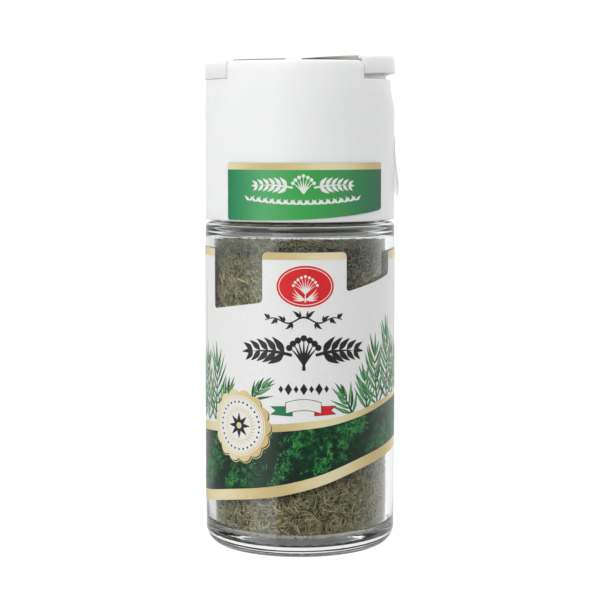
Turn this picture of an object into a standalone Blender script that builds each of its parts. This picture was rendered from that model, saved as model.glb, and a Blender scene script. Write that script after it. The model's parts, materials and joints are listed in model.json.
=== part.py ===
"""A glass spice jar of dried dill leaf, with a white two-flap dispenser cap and paper labels.

Run with: blender --background --python part.py
The jar stands on Z = 0 with its axis on Z, and its label faces -Y. Lengths are in metres.
"""

import math
import random

import bmesh
import bpy
from mathutils import Matrix, Vector

MM = 0.001

# Driving sizes of the jar
SEGMENTS = 40
GLASS_RADIUS = 22.5 * MM
GLASS_WALL = 2.1 * MM
HEEL_RADIUS = 4.3 * MM
FLOOR_Z = 5.2 * MM
PUNT_DEPTH = 1.2 * MM
FOOT_INNER_RADIUS = 13.5 * MM
SHOULDER_Z = 76.2 * MM
NECK_RADIUS = 18.2 * MM
NECK_BEAD_RADIUS = 18.75 * MM
MOUTH_RADIUS = 16.4 * MM
MOUTH_Z = 96.0 * MM

# Driving sizes of the cap
CAP_TURN = math.radians(-3.9)
CAP_RADIUS = 22.45 * MM
CAP_WALL = 1.5 * MM
CAP_BOTTOM_Z = 77.6 * MM
RIM_Z = 114.4 * MM
SHELF_Z = 110.3 * MM
DECK_Z = 112.9 * MM
DECK_THICKNESS = 1.4 * MM
COLLAR_RADIUS = 20.4 * MM
TUBE_LOW_Z = 84.0 * MM
PLUG_LOW_Z = 92.3 * MM
MOULD_GAP = 0.05 * MM
NOTCH_HALF_ANGLE = math.radians(45.3)
NOTCH_CORNER = 1.6 * MM

# Driving sizes of the flaps
FLAP_TOP_Z = 114.6 * MM
FLAP_THICKNESS = 1.05 * MM
LIP_BOTTOM_Z = 110.5 * MM
HINGE_OFFSET = 1.6 * MM
HINGE_Z = FLAP_TOP_Z - FLAP_THICKNESS
FLAP_CLEARANCE = 0.3 * MM
RIGHT_FLAP_AJAR = math.radians(4.3)

# Openings in the deck, in the cap's own frame
SPOON_NEAR = 4.6 * MM
SPOON_FAR_RADIUS = 17.2 * MM
SPOON_HALF_LENGTH = 11.5 * MM
SIFTER_CENTRE = 10.6 * MM
SIFTER_PITCH = 5.6 * MM
SIFTER_RADIUS = 2.1 * MM

# Driving sizes of the labels
PAPER = 0.25 * MM
PAPER_GAP = 0.12 * MM
LABEL_TOP_Z = 71.2 * MM
LABEL_LOW_Z = 10.7 * MM
LABEL_SWEEP = 13.0 * MM
LABEL_CORNER = 1.6 * MM
LEFT_WINDOW = (-61.0, -22.4, 57.2 * MM, 60.0 * MM)
RIGHT_WINDOW = (29.2, 66.0, 61.8 * MM, 65.0 * MM)
BACK_PANEL_START = 98.0
BACK_PANEL_STEP = 9.0
STICKER_SPAN = (-47.3, 56.3)
STICKER_TOP_Z = 91.1 * MM
STICKER_LOW_Z = 78.0 * MM
STICKER_RISE = 2.3 * MM

# Driving sizes of the dill
FILL_Z = 69.4 * MM
DILL_RADIUS = 19.2 * MM
LEAF_LENGTH = 6.6 * MM
LEAF_WIDTH = 1.15 * MM
DILL_SEED = 11


def clear_scene():
    for old in list(bpy.data.objects):
        bpy.data.objects.remove(old, do_unlink=True)


def collection(name):
    made = bpy.data.collections.new(name)
    bpy.context.scene.collection.children.link(made)
    return made


def principled(name, colour, roughness, metallic=0.0, transmission=0.0):
    material = bpy.data.materials.new(name)
    material.use_nodes = True
    shader = material.node_tree.nodes["Principled BSDF"]
    shader.inputs["Base Color"].default_value = (*colour, 1.0)
    shader.inputs["Roughness"].default_value = roughness
    shader.inputs["Metallic"].default_value = metallic
    shader.inputs["Transmission Weight"].default_value = transmission
    return material


def add_object(name, mesh, material, home):
    thing = bpy.data.objects.new(name, mesh)
    home.objects.link(thing)
    if material:
        mesh.materials.append(material)
    return thing


def arc(centre_r, centre_z, radius, start, end, steps):
    """Profile points (r, z) on an arc from one angle to another, in degrees."""
    points = []
    for i in range(steps + 1):
        angle = math.radians(start + (end - start) * i / steps)
        points.append((centre_r + radius * math.cos(angle), centre_z + radius * math.sin(angle)))
    return points


def turned(name, profile, material, home):
    """A round body: the profile is swept about Z, and runs down the body's outer side."""
    mesh = bpy.data.meshes.new(name)
    closed = profile[0][0] > 0 and profile[-1][0] > 0
    count = len(profile)
    edges = [(i, i + 1) for i in range(count - 1)] + ([(count - 1, 0)] if closed else [])
    mesh.from_pydata([(r, 0.0, z) for r, z in profile], edges, [])
    thing = add_object(name, mesh, material, home)
    screw = thing.modifiers.new("Turn", "SCREW")
    screw.steps = SEGMENTS
    screw.render_steps = SEGMENTS
    screw.use_merge_vertices = True
    screw.merge_threshold = 0.00002
    screw.use_smooth_shade = True
    return thing


def flat_solid(name, outlines, low, high, material, home):
    """A flat outline, with any holes in it, made as thick as the space from low to high."""
    curve = bpy.data.curves.new(name, "CURVE")
    curve.dimensions = "2D"
    curve.fill_mode = "BOTH"
    curve.extrude = (high - low) / 2
    for outline in outlines:
        spline = curve.splines.new("POLY")
        spline.points.add(len(outline) - 1)
        for point, (x, y) in zip(spline.points, outline):
            point.co = (x, y, 0.0, 1.0)
        spline.use_cyclic_u = True
    drawn = bpy.data.objects.new(name + "_outline", curve)
    drawn.location.z = (low + high) / 2
    home.objects.link(drawn)
    bpy.context.view_layer.update()
    evaluated = drawn.evaluated_get(bpy.context.evaluated_depsgraph_get())
    mesh = bpy.data.meshes.new_from_object(evaluated)
    shape = bmesh.new()
    shape.from_mesh(mesh)
    bmesh.ops.remove_doubles(shape, verts=shape.verts, dist=0.000005)
    bmesh.ops.recalc_face_normals(shape, faces=shape.faces)
    shape.to_mesh(mesh)
    shape.free()
    mesh.materials.clear()
    thing = add_object(name, mesh, material, home)
    thing.matrix_world = drawn.matrix_world
    bpy.data.objects.remove(drawn)
    return thing


def cutter(thing):
    thing.hide_render = True
    thing.display_type = "WIRE"
    return thing


def combine(target, others, operation):
    for other in others:
        modifier = target.modifiers.new(operation.title() + " " + other.name, "BOOLEAN")
        modifier.operation = operation
        modifier.solver = "EXACT"
        modifier.object = cutter(other)


def apply_modifiers(thing):
    """Keeps the evaluated shape as the object's own mesh."""
    bpy.context.view_layer.update()
    evaluated = thing.evaluated_get(bpy.context.evaluated_depsgraph_get())
    thing.data = bpy.data.meshes.new_from_object(evaluated)
    thing.modifiers.clear()


def ring_point(radius, angle):
    return (radius * math.cos(angle), radius * math.sin(angle))


def ring_arc(radius, start, end, steps):
    return [ring_point(radius, start + (end - start) * i / steps) for i in range(steps + 1)]


def around(angle_degrees, radius, z):
    """A point on the jar: 0 degrees is the front (-Y), and the angle grows towards +X."""
    angle = math.radians(angle_degrees)
    return (radius * math.sin(angle), -radius * math.cos(angle), z)


def paper_band(name, columns, radius, material, home, closed=False):
    """Paper on a round surface, from columns of (angle, low z, high z)."""
    mesh = bpy.data.meshes.new(name)
    shape = bmesh.new()
    pairs = []
    for angle, low, high in columns:
        pairs.append([shape.verts.new(around(angle, radius, z)) for z in (low, high)])
    following = pairs[1:] + pairs[:1] if closed else pairs[1:]
    for here, there in zip(pairs, following):
        shape.faces.new((here[0], there[0], there[1], here[1]))
    bmesh.ops.triangulate(shape, faces=shape.faces)
    shape.to_mesh(mesh)
    shape.free()
    thing = add_object(name, mesh, material, home)
    solidify = thing.modifiers.new("Paper", "SOLIDIFY")
    solidify.thickness = PAPER
    solidify.offset = 1.0
    return thing


def make_jar(home):
    """The glass: a thick foot with a shallow hollow below, straight walls, a shoulder and a neck."""
    inner = GLASS_RADIUS - GLASS_WALL
    inside = [(0.0, FLOOR_Z + 0.6 * MM), (8 * MM, FLOOR_Z + 0.4 * MM)]
    inside += arc(inner - 2.8 * MM, FLOOR_Z + 2.8 * MM, 2.8 * MM, -90, 0, 4)
    inside += arc(inner - 3.2 * MM, 73.2 * MM, 3.2 * MM, 10, 70, 3)
    inside += [(MOUTH_RADIUS, 78.8 * MM)]
    lip = arc(MOUTH_RADIUS + 0.9 * MM, MOUTH_Z - 0.9 * MM, 0.9 * MM, 180, 0, 4)
    bead = [
        (NECK_RADIUS, 93.2 * MM),
        (NECK_BEAD_RADIUS, 92.4 * MM),
        (NECK_BEAD_RADIUS, 91.2 * MM),
        (NECK_RADIUS, 90.2 * MM),
        (NECK_RADIUS, 78.9 * MM),
    ]
    shoulder = arc(GLASS_RADIUS - 1.2 * MM, SHOULDER_Z - 0.4 * MM, 1.2 * MM, 80, 0, 3)
    groove = [
        (GLASS_RADIUS, 74.3 * MM),
        (GLASS_RADIUS - 0.25 * MM, 73.9 * MM),
        (GLASS_RADIUS - 0.25 * MM, 73.4 * MM),
        (GLASS_RADIUS, 73.0 * MM),
    ]
    heel = arc(GLASS_RADIUS - HEEL_RADIUS, HEEL_RADIUS, HEEL_RADIUS, 0, -90, 6)
    punt = [
        (FOOT_INNER_RADIUS, 0.0),
        (FOOT_INNER_RADIUS - 1.6 * MM, 0.5 * MM),
        (6 * MM, PUNT_DEPTH - 0.15 * MM),
        (0.0, PUNT_DEPTH),
    ]
    glass = principled("glass", (0.93, 0.96, 0.95), 0.03, transmission=1.0)
    return turned("jar_glass", inside + lip + bead + shoulder + groove + heel + punt, glass, home)


def leaf_bit(shape, place, length, width):
    """One dried leaf bit: a three-sided sliver, thick in the middle and pointed at both ends."""
    corners = []
    for i in range(3):
        angle = math.tau * i / 3 + math.pi / 6
        corners.append((0.0, width / 2 * math.cos(angle), width / 2 * math.sin(angle)))
    ends = [(-length / 2, 0.0, 0.0), (length / 2, 0.0, 0.0)]
    verts = [shape.verts.new(place @ Vector(p)) for p in corners + ends]
    for i in range(3):
        a, b = verts[i], verts[(i + 1) % 3]
        shape.faces.new((b, a, verts[3]))
        shape.faces.new((a, b, verts[4]))


def side_bits(draw):
    """Places of the bits that show through the wall: even rows, each bit turned at random."""
    rows, columns = 13, 19
    low, high = FLOOR_Z + 5.2 * MM, FILL_Z - 2.5 * MM
    for row in range(rows):
        for column in range(columns):
            angle = math.tau * (column + row % 2 / 2 + draw.uniform(-0.22, 0.22)) / columns
            z = low + (high - low) * (row + draw.uniform(-0.3, 0.3)) / (rows - 1)
            slant = draw.uniform(-1.2, 1.2)
            lean = draw.uniform(0.02, 0.09)
            yield (
                Matrix.Rotation(angle, 4, "Z")
                @ Matrix.Translation((DILL_RADIUS, 0.0, z))
                @ Matrix.Rotation(math.pi / 2, 4, "Z")
                @ Matrix.Rotation(slant, 4, "Y")
                @ Matrix.Rotation(lean, 4, "Z")
            )


def top_bits(draw):
    """Places of the bits that stand out of the top of the dill, in rings."""
    for ring in range(5):
        count = 4 + 5 * ring
        for i in range(count):
            angle = math.tau * (i + draw.uniform(-0.25, 0.25)) / count
            radius = 0.9 * DILL_RADIUS * (ring + 0.35) / 5
            tilt = draw.choice((-1, 1)) * draw.uniform(0.12, 0.5)
            yield (
                Matrix.Translation((*ring_point(radius, angle), FILL_Z - 0.1 * MM))
                @ Matrix.Rotation(draw.uniform(0, math.tau), 4, "Z")
                @ Matrix.Rotation(tilt, 4, "Y")
            )


def make_dill(home, spare):
    """The dried dill: a core with its leaf bits standing out on the side and on the top."""
    draw = random.Random(DILL_SEED)
    top = FILL_Z
    profile = [
        (0.0, top + 0.5 * MM),
        (9 * MM, top - 0.3 * MM),
        (DILL_RADIUS - 1 * MM, top + 0.2 * MM),
        (DILL_RADIUS, top - 0.8 * MM),
        (DILL_RADIUS, FLOOR_Z + 3.4 * MM),
        (DILL_RADIUS - 2.6 * MM, FLOOR_Z + 1.0 * MM),
        (0.0, FLOOR_Z + 1.0 * MM),
    ]
    herb = principled("dried dill", (0.17, 0.16, 0.07), 0.85)
    core = turned("dill_leaf", profile, herb, home)
    core.modifiers["Turn"].steps = core.modifiers["Turn"].render_steps = 24
    bits = []
    for place in list(side_bits(draw)) + list(top_bits(draw)):
        shape = bmesh.new()
        leaf_bit(shape, place, LEAF_LENGTH * draw.uniform(0.7, 1.1), LEAF_WIDTH)
        mesh = bpy.data.meshes.new("leaf_bit")
        shape.to_mesh(mesh)
        shape.free()
        bits.append(cutter(add_object("leaf_bit", mesh, None, spare)))
    union = core.modifiers.new("Leaf bits", "BOOLEAN")
    union.operation = "UNION"
    union.operand_type = "COLLECTION"
    union.collection = spare
    union.solver = "MANIFOLD"
    apply_modifiers(core)
    for bit in bits:
        bpy.data.objects.remove(bit, do_unlink=True)
    return core


def skirt_profile():
    """The cap's outer wall, from its open bottom to the rim."""
    inner = CAP_RADIUS - CAP_WALL
    rim = [(inner, RIM_Z - 0.2 * MM), (inner + 0.2 * MM, RIM_Z)]
    rim += arc(CAP_RADIUS - 0.5 * MM, RIM_Z - 0.5 * MM, 0.5 * MM, 90, 0, 2)
    return rim + [
        (CAP_RADIUS, CAP_BOTTOM_Z + 0.3 * MM),
        (CAP_RADIUS - 0.3 * MM, CAP_BOTTOM_Z),
        (inner, CAP_BOTTOM_Z),
    ]


def plug_profile():
    """The ring that seats on the glass, with the snap tube outside the neck and the plug inside it."""
    outer = CAP_RADIUS - CAP_WALL - MOULD_GAP
    seat_low, seat_high = MOUTH_Z + FLAP_CLEARANCE, MOUTH_Z + 1.7 * MM
    plug_outer, plug_inner = MOUTH_RADIUS - FLAP_CLEARANCE, MOUTH_RADIUS - 1.2 * MM
    tube_inner, tube_outer = NECK_BEAD_RADIUS + 0.35 * MM, NECK_BEAD_RADIUS + 1.25 * MM
    return [
        (outer, seat_high),
        (outer, seat_low),
        (tube_outer, seat_low),
        (tube_outer, TUBE_LOW_Z),
        (tube_inner, TUBE_LOW_Z),
        (tube_inner, seat_low),
        (plug_outer, seat_low),
        (plug_outer, PLUG_LOW_Z),
        (plug_inner, PLUG_LOW_Z),
        (plug_inner, seat_high),
    ]


def deck_profile():
    """The deck under the flaps, its collar, and the flange that joins it to the outer wall."""
    outer = CAP_RADIUS - CAP_WALL - MOULD_GAP
    chamber = COLLAR_RADIUS - 1.2 * MM
    return [
        (0.0, DECK_Z),
        (COLLAR_RADIUS - 0.4 * MM, DECK_Z),
        (COLLAR_RADIUS, DECK_Z - 0.4 * MM),
        (COLLAR_RADIUS, SHELF_Z),
        (outer, SHELF_Z),
        (outer, SHELF_Z - 2.6 * MM),
        (chamber, SHELF_Z - 0.9 * MM),
        (chamber, DECK_Z - DECK_THICKNESS),
        (0.0, DECK_Z - DECK_THICKNESS),
    ]


def notch_cutter(name, facing, home):
    """What is taken from the rim for a flap's lip: a sector whose top corners are rounded off."""
    inner, outer = COLLAR_RADIUS + 0.28 * MM, CAP_RADIUS + 4 * MM
    above = RIM_Z + 3 * MM
    side = [(NOTCH_HALF_ANGLE, SHELF_Z)]
    for turn in (60, 30, 0):
        across = NOTCH_CORNER * (1 - math.sin(math.radians(turn))) / CAP_RADIUS
        drop = NOTCH_CORNER * (1 - math.cos(math.radians(turn)))
        side.append((NOTCH_HALF_ANGLE + across, RIM_Z - drop + 0.02 * MM))
    floor = [(NOTCH_HALF_ANGLE * (i / 7 - 1), SHELF_Z) for i in range(1, 14)]
    columns = [(-angle, z) for angle, z in reversed(side)] + floor + side
    shape = bmesh.new()
    rings = []
    for angle, low in columns:
        points = []
        for radius in (inner, outer):
            x, y = ring_point(radius, facing + angle)
            points += [shape.verts.new((x, y, low)), shape.verts.new((x, y, above))]
        rings.append(points)
    for (a, b, c, d), (e, f, g, h) in zip(rings, rings[1:]):
        for face in ((a, c, g, e), (b, f, h, d), (c, d, h, g), (a, e, f, b)):
            shape.faces.new(face)
    for a, b, c, d in (rings[0], rings[-1]):
        shape.faces.new((a, b, d, c))
    bmesh.ops.recalc_face_normals(shape, faces=shape.faces)
    mesh = bpy.data.meshes.new(name)
    shape.to_mesh(mesh)
    shape.free()
    return add_object(name, mesh, None, home)


def scoop_cutter(name, side, depth, home):
    """A shallow thumb hollow in the skirt, just under a flap's lip."""
    shape = bmesh.new()
    bmesh.ops.create_uvsphere(shape, u_segments=16, v_segments=10, radius=1.0)
    sizes = Matrix.Diagonal((3 * MM, 10 * MM, 5.2 * MM, 1.0))
    centre = Matrix.Translation((side * (CAP_RADIUS + 3 * MM - depth), 0.0, SHELF_Z - 0.6 * MM))
    shape.transform(centre @ sizes)
    mesh = bpy.data.meshes.new(name)
    shape.to_mesh(mesh)
    shape.free()
    return add_object(name, mesh, None, home)


def spoon_outline(inset=0.0):
    """The D-shaped opening: straight beside the hinge, round towards the wall."""
    near = SPOON_NEAR + inset
    far = SPOON_FAR_RADIUS - inset
    half = SPOON_HALF_LENGTH - inset
    end = math.asin(half / far)
    corner = 1.2 * MM
    outline = [(near, half - corner), (near, -half + corner), (near + corner, -half)]
    outline += ring_arc(far, -end, end, 8)
    outline += [(near + corner, half)]
    return outline


def sifter_centres():
    """One hole in the middle and six round it."""
    middle = Vector((-SIFTER_CENTRE, 0.0))
    ring = [Vector(ring_point(SIFTER_PITCH, math.tau * i / 6 + math.pi / 6)) for i in range(6)]
    return [middle] + [middle + step for step in ring]


def circle(centre, radius, steps):
    return [(centre.x + x, centre.y + y) for x, y in ring_arc(radius, 0, math.tau * (1 - 1 / steps), steps - 1)]


def make_cap(home, spare, white):
    """The white moulding under the flaps: its outer wall, the ring on the glass, and the deck."""
    skirt = turned("cap_skirt", skirt_profile(), white, home)
    plug = turned("cap_plug", plug_profile(), white, home)
    deck = turned("cap_deck", deck_profile(), white, home)
    hollows = [
        notch_cutter("notch_right", 0.0, spare),
        notch_cutter("notch_left", math.pi, spare),
        scoop_cutter("scoop_right", 1, 0.85 * MM, spare),
        scoop_cutter("scoop_left", -1, 0.25 * MM, spare),
    ]
    combine(skirt, hollows, "DIFFERENCE")
    through = (DECK_Z - 4 * MM, DECK_Z + 4 * MM)
    holes = [flat_solid("spoon_opening", [spoon_outline()], *through, None, spare)]
    for i, centre in enumerate(sifter_centres()):
        hole = [circle(centre, SIFTER_RADIUS, 14)]
        holes.append(flat_solid(f"sifter_hole_{i}", hole, *through, None, spare))
    combine(deck, holes, "DIFFERENCE")
    half, length = HINGE_OFFSET - FLAP_CLEARANCE, COLLAR_RADIUS + 0.3 * MM
    outline = [(-half, -length), (half, -length), (half, length), (-half, length)]
    bar_top = HINGE_Z - 0.15 * MM
    bar = flat_solid("hinge_bar", [outline], DECK_Z - 0.5 * MM, bar_top, None, spare)
    combine(deck, [bar], "UNION")
    return [skirt, plug, deck]


def flap_outline(side):
    """The plate of a flap, which reaches out to the wall of the cap between the notch's ends."""
    start = HINGE_OFFSET + 0.15 * MM
    inside = CAP_RADIUS - CAP_WALL - FLAP_CLEARANCE
    lip_half = NOTCH_HALF_ANGLE - math.radians(0.9)
    end = math.acos(start / inside)
    outline = ring_arc(inside, -end, -lip_half, 6)
    outline += ring_arc(CAP_RADIUS, -lip_half, lip_half, 14)
    outline += ring_arc(inside, lip_half, end, 6)
    return [(side * x, y) for x, y in outline]


def lip_outline(side):
    outer, inner = CAP_RADIUS - 0.06 * MM, COLLAR_RADIUS + 0.5 * MM
    half = NOTCH_HALF_ANGLE - math.radians(1.1)
    outline = ring_arc(outer, -half, half, 14) + ring_arc(inner, half, -half, 14)
    return [(side * x, y) for x, y in outline]


def make_flap(name, side, seals, home, spare, white):
    """A flap with its lip, and the ribs or pegs below it that close the openings."""
    flap = flat_solid(name, [flap_outline(side)], HINGE_Z, FLAP_TOP_Z, white, home)
    lip = flat_solid(name + "_lip", [lip_outline(side)], LIP_BOTTOM_Z, FLAP_TOP_Z - 0.4 * MM, None, spare)
    combine(flap, [lip] + seals, "UNION")
    return flap


def hinge_frame(name, side, turn, home):
    """An empty on a flap's hinge line, turned by how far the flap stands open."""
    frame = bpy.data.objects.new(name, None)
    home.objects.link(frame)
    line = Matrix.Translation((side * HINGE_OFFSET, 0.0, HINGE_Z))
    frame.matrix_world = Matrix.Rotation(CAP_TURN, 4, "Z") @ line @ Matrix.Rotation(-side * turn, 4, "Y")
    return frame


def hang_on(frame, side, things):
    """Puts things that were drawn closed, in the cap's own frame, on the hinge's empty."""
    closed = Matrix.Translation((-side * HINGE_OFFSET, 0.0, -HINGE_Z))
    for thing in things:
        thing.matrix_world = frame.matrix_world @ closed @ thing.matrix_world
        thing.parent = frame
        thing.matrix_parent_inverse = frame.matrix_world.inverted()


def top_label_outline(side):
    """The printed paper on a flap: a half disc with its corners cut back."""
    radius = CAP_RADIUS - 3.4 * MM
    start = HINGE_OFFSET + 0.7 * MM
    end = math.acos(start / radius)
    return [(side * x, y) for x, y in ring_arc(radius, -end, end, 20)]


def window_side(angle):
    """Signed distance in degrees to the nearest window's edge: below 0 inside a window."""
    return min(max(start - angle, angle - end) for start, end, _, _ in (LEFT_WINDOW, RIGHT_WINDOW))


def label_top(angle):
    """Height of the label's top edge: it dips into the two windows, and its corners are round."""
    for start, end, low_start, low_end in (LEFT_WINDOW, RIGHT_WINDOW):
        if start < angle < end:
            return low_start + (low_end - low_start) * (angle - start) / (end - start)
    inside = math.radians(window_side(angle)) * GLASS_RADIUS
    if inside >= LABEL_CORNER:
        return LABEL_TOP_Z
    return LABEL_TOP_Z - LABEL_CORNER + math.sqrt(LABEL_CORNER**2 - (LABEL_CORNER - inside) ** 2)


def label_bottom(angle):
    """Height of the label's bottom edge: it sweeps up across the front and steps down again behind."""
    swing = math.sin(math.radians(max(-90.0, min(90.0, angle - 8.0))))
    step = min(1.0, max(0.0, (angle - BACK_PANEL_START) / BACK_PANEL_STEP))
    step = step * step * (3 - 2 * step)
    return LABEL_LOW_Z + LABEL_SWEEP * (1 + swing) / 2 * (1 - step)


def make_label(home, paper):
    """The wrap label: one paper band all round the glass."""
    angles = [6.0 * i for i in range(-15, 45)]
    for start, end, _, _ in (LEFT_WINDOW, RIGHT_WINDOW):
        for edge, way in ((start, -1), (end, 1)):
            angles = [a for a in angles if not -1.0 < (a - edge) * way < 5.0]
            angles += [edge - 0.15 * way] + [edge + way * reach for reach in (0.0, 1.1, 2.4, 4.1)]
    angles += [BACK_PANEL_START + BACK_PANEL_STEP * i / 4 for i in range(5)]
    angles = [a for a in sorted(angles) if a < 270.0]
    columns = [(a, label_bottom(a), label_top(a)) for a in angles]
    return paper_band("jar_label", columns, GLASS_RADIUS + PAPER_GAP, paper, home, closed=True)


def sticker_low(angle):
    """The bottom edge of the cap's sticker, which lifts towards the right."""
    along = (angle - STICKER_SPAN[0]) / (STICKER_SPAN[1] - STICKER_SPAN[0])
    return STICKER_LOW_Z + STICKER_RISE * along**2.6


def make_cap_sticker(home, green):
    """The sticker on the front of the cap, with round corners."""
    start, end = STICKER_SPAN
    radius = 1.4 * MM
    columns = []
    corner = math.degrees(radius / CAP_RADIUS)
    insides = [corner * part for part in (0.02, 0.2, 0.55, 1.0)]
    middle = [start + corner + (end - start - 2 * corner) * i / 22 for i in range(1, 22)]
    for angle in [start + a for a in insides] + middle + [end - a for a in reversed(insides)]:
        inside = min(angle - start, end - angle) / corner
        cut = radius * (1 - math.sqrt(max(0.0, 1 - (1 - min(1.0, inside)) ** 2)))
        columns.append((angle, sticker_low(angle) + cut, STICKER_TOP_Z - cut))
    return paper_band("cap_sticker", columns, CAP_RADIUS + PAPER_GAP, green, home)


def make_seal_strip(home, paper):
    """What is left of the paper seal on the cap's right side: its lower end has lifted."""
    top, bottom = 97.0 * MM, 82.8 * MM
    half = 4.5 * MM
    shape = bmesh.new()
    rows = []
    for i in range(9):
        down = i / 8
        z = top + (bottom - top) * down
        lift = 1.0 * MM * max(0.0, (down - 0.15) / 0.65) ** 1.5 if down < 0.8 else 1.0 * MM * (1.8 - down)
        width = half if down < 0.8 else half * math.sqrt(1 - ((down - 0.8) / 0.22) ** 2)
        radius = CAP_RADIUS + PAPER_GAP + min(lift, 0.95 * MM)
        row = []
        for j in range(5):
            angle = 92.0 + math.degrees(width / CAP_RADIUS) * (j / 2 - 1)
            row.append(shape.verts.new(around(angle, radius, z)))
        rows.append(row)
    for upper, lower in zip(rows, rows[1:]):
        for j in range(4):
            shape.faces.new((lower[j], lower[j + 1], upper[j + 1], upper[j]))
    bmesh.ops.triangulate(shape, faces=shape.faces)
    mesh = bpy.data.meshes.new("seal_strip")
    shape.to_mesh(mesh)
    shape.free()
    strip = add_object("seal_strip", mesh, paper, home)
    solidify = strip.modifiers.new("Paper", "SOLIDIFY")
    solidify.thickness = PAPER
    solidify.offset = 1.0
    return strip


def make_spoon_rib(spare):
    """The rib under the right flap that sits inside the spoon opening."""
    loops = [spoon_outline(0.5 * MM), spoon_outline(1.5 * MM)]
    return flat_solid("spoon_rib", loops, DECK_Z - 0.9 * MM, HINGE_Z + 0.5 * MM, None, spare)


def make_sifter_pegs(spare):
    """The pegs under the left flap, one in each sifter hole."""
    pegs = []
    for i, centre in enumerate(sifter_centres()):
        outline = [circle(centre, SIFTER_RADIUS - 0.65 * MM, 8)]
        peg = flat_solid(f"peg_{i}", outline, DECK_Z - 0.6 * MM, HINGE_Z + 0.5 * MM, None, spare)
        pegs.append(peg)
    return pegs


def main():
    clear_scene()
    home = collection("dill spice jar")
    spare = collection("cutters")
    leaf_spare = collection("leaf bits")
    white = principled("white cap", (0.86, 0.86, 0.85), 0.4)
    paper = principled("label paper", (0.86, 0.86, 0.83), 0.5)
    green = principled("green cap label", (0.04, 0.27, 0.09), 0.4)
    top_print = principled("dark top print", (0.12, 0.09, 0.05), 0.45)

    make_jar(home)
    make_dill(home, leaf_spare)
    bpy.data.collections.remove(leaf_spare)
    make_label(home, paper)
    make_cap_sticker(home, green)
    make_seal_strip(home, paper)

    turn = Matrix.Rotation(CAP_TURN, 4, "Z")
    for thing in make_cap(home, spare, white) + list(spare.objects):
        thing.matrix_world = turn @ thing.matrix_world

    flaps = (
        ("left", -1, 0.0, make_sifter_pegs),
        ("right", 1, RIGHT_FLAP_AJAR, lambda place: [make_spoon_rib(place)]),
    )
    for side_name, side, opened, make_seals in flaps:
        before = set(spare.objects)
        flap = make_flap(f"flap_{side_name}", side, make_seals(spare), home, spare, white)
        label_low = FLAP_TOP_Z + PAPER_GAP
        label = flat_solid(
            f"top_label_{side_name}",
            [top_label_outline(side)],
            label_low,
            label_low + 0.15 * MM,
            top_print,
            home,
        )
        frame = hinge_frame(f"hinge_{side_name}", side, opened, home)
        hang_on(frame, side, [flap, label] + [c for c in spare.objects if c not in before])


main()
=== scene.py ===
import json
import math
import random

import bmesh
import bpy
import numpy as np
from mathutils import Matrix, Vector
from mathutils.geometry import tessellate_polygon


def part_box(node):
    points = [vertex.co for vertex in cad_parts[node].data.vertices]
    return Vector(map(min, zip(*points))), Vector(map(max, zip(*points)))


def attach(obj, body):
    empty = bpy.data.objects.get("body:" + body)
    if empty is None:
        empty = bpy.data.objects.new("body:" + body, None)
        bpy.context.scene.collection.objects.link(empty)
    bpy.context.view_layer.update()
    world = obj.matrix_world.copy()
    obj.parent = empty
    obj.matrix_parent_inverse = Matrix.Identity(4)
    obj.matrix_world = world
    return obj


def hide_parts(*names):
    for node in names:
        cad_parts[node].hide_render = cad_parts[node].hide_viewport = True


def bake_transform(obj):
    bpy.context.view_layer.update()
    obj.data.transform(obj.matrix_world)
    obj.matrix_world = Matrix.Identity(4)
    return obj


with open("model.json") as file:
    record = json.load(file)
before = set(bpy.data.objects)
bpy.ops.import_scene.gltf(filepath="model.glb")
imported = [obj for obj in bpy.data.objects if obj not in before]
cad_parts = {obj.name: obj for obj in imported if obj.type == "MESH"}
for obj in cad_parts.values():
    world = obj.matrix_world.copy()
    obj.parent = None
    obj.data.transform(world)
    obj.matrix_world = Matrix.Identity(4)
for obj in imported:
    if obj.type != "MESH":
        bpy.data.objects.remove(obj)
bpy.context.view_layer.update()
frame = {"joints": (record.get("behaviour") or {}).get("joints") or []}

MM = 0.001

# Sizes that the frame gives
GLASS_RADIUS = (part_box("jar_glass")[1].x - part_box("jar_glass")[0].x) / 2
MOUTH_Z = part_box("jar_glass")[1].z
CAP_BOTTOM_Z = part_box("cap_skirt")[0].z
RIM_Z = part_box("cap_skirt")[1].z
FLAP_TOP_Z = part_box("flap_left")[1].z
LIP_BOTTOM_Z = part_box("flap_left")[0].z
STICKER_TOP_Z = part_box("cap_sticker")[1].z
STICKER_LOW_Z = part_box("cap_sticker")[0].z
LABEL_TOP_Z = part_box("jar_label")[1].z
LABEL_LOW_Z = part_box("jar_label")[0].z
HINGES = {joint["name"]: joint for joint in frame["joints"]}
SPOON_HINGE = HINGES["spoon_flap_hinge"]
HINGE_Z = SPOON_HINGE["pos_m"][2]
HINGE_OFFSET = math.hypot(*SPOON_HINGE["pos_m"][:2])
CAP_TURN = math.atan2(SPOON_HINGE["pos_m"][1], SPOON_HINGE["pos_m"][0])
AJAR = math.radians(-SPOON_HINGE["range_deg"][0])

# Sizes of the jar
GLASS_WALL = 2.1 * MM
INNER_RADIUS = GLASS_RADIUS - GLASS_WALL
HEEL_RADIUS = 4.3 * MM
FLOOR_Z = 4.3 * MM
FLOOR_FILLET = 2.4 * MM
PUNT_DEPTH = 1.2 * MM
FOOT_INNER_RADIUS = 13.5 * MM
SHOULDER_Z = 76.2 * MM
FILLET = 4.2 * MM
FILLET_Z = 73.2 * MM
NECK_RADIUS = 18.2 * MM
NECK_BEAD_RADIUS = 18.75 * MM
NECK_START_Z = 79.2 * MM
MOUTH_RADIUS = 16.4 * MM
MOUTH_ROUND = 0.9 * MM
GLASS_TURNS = 288
WALL_WAVE = 0.045 * MM
FOOT_RIDGE = 0.2 * MM

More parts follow.
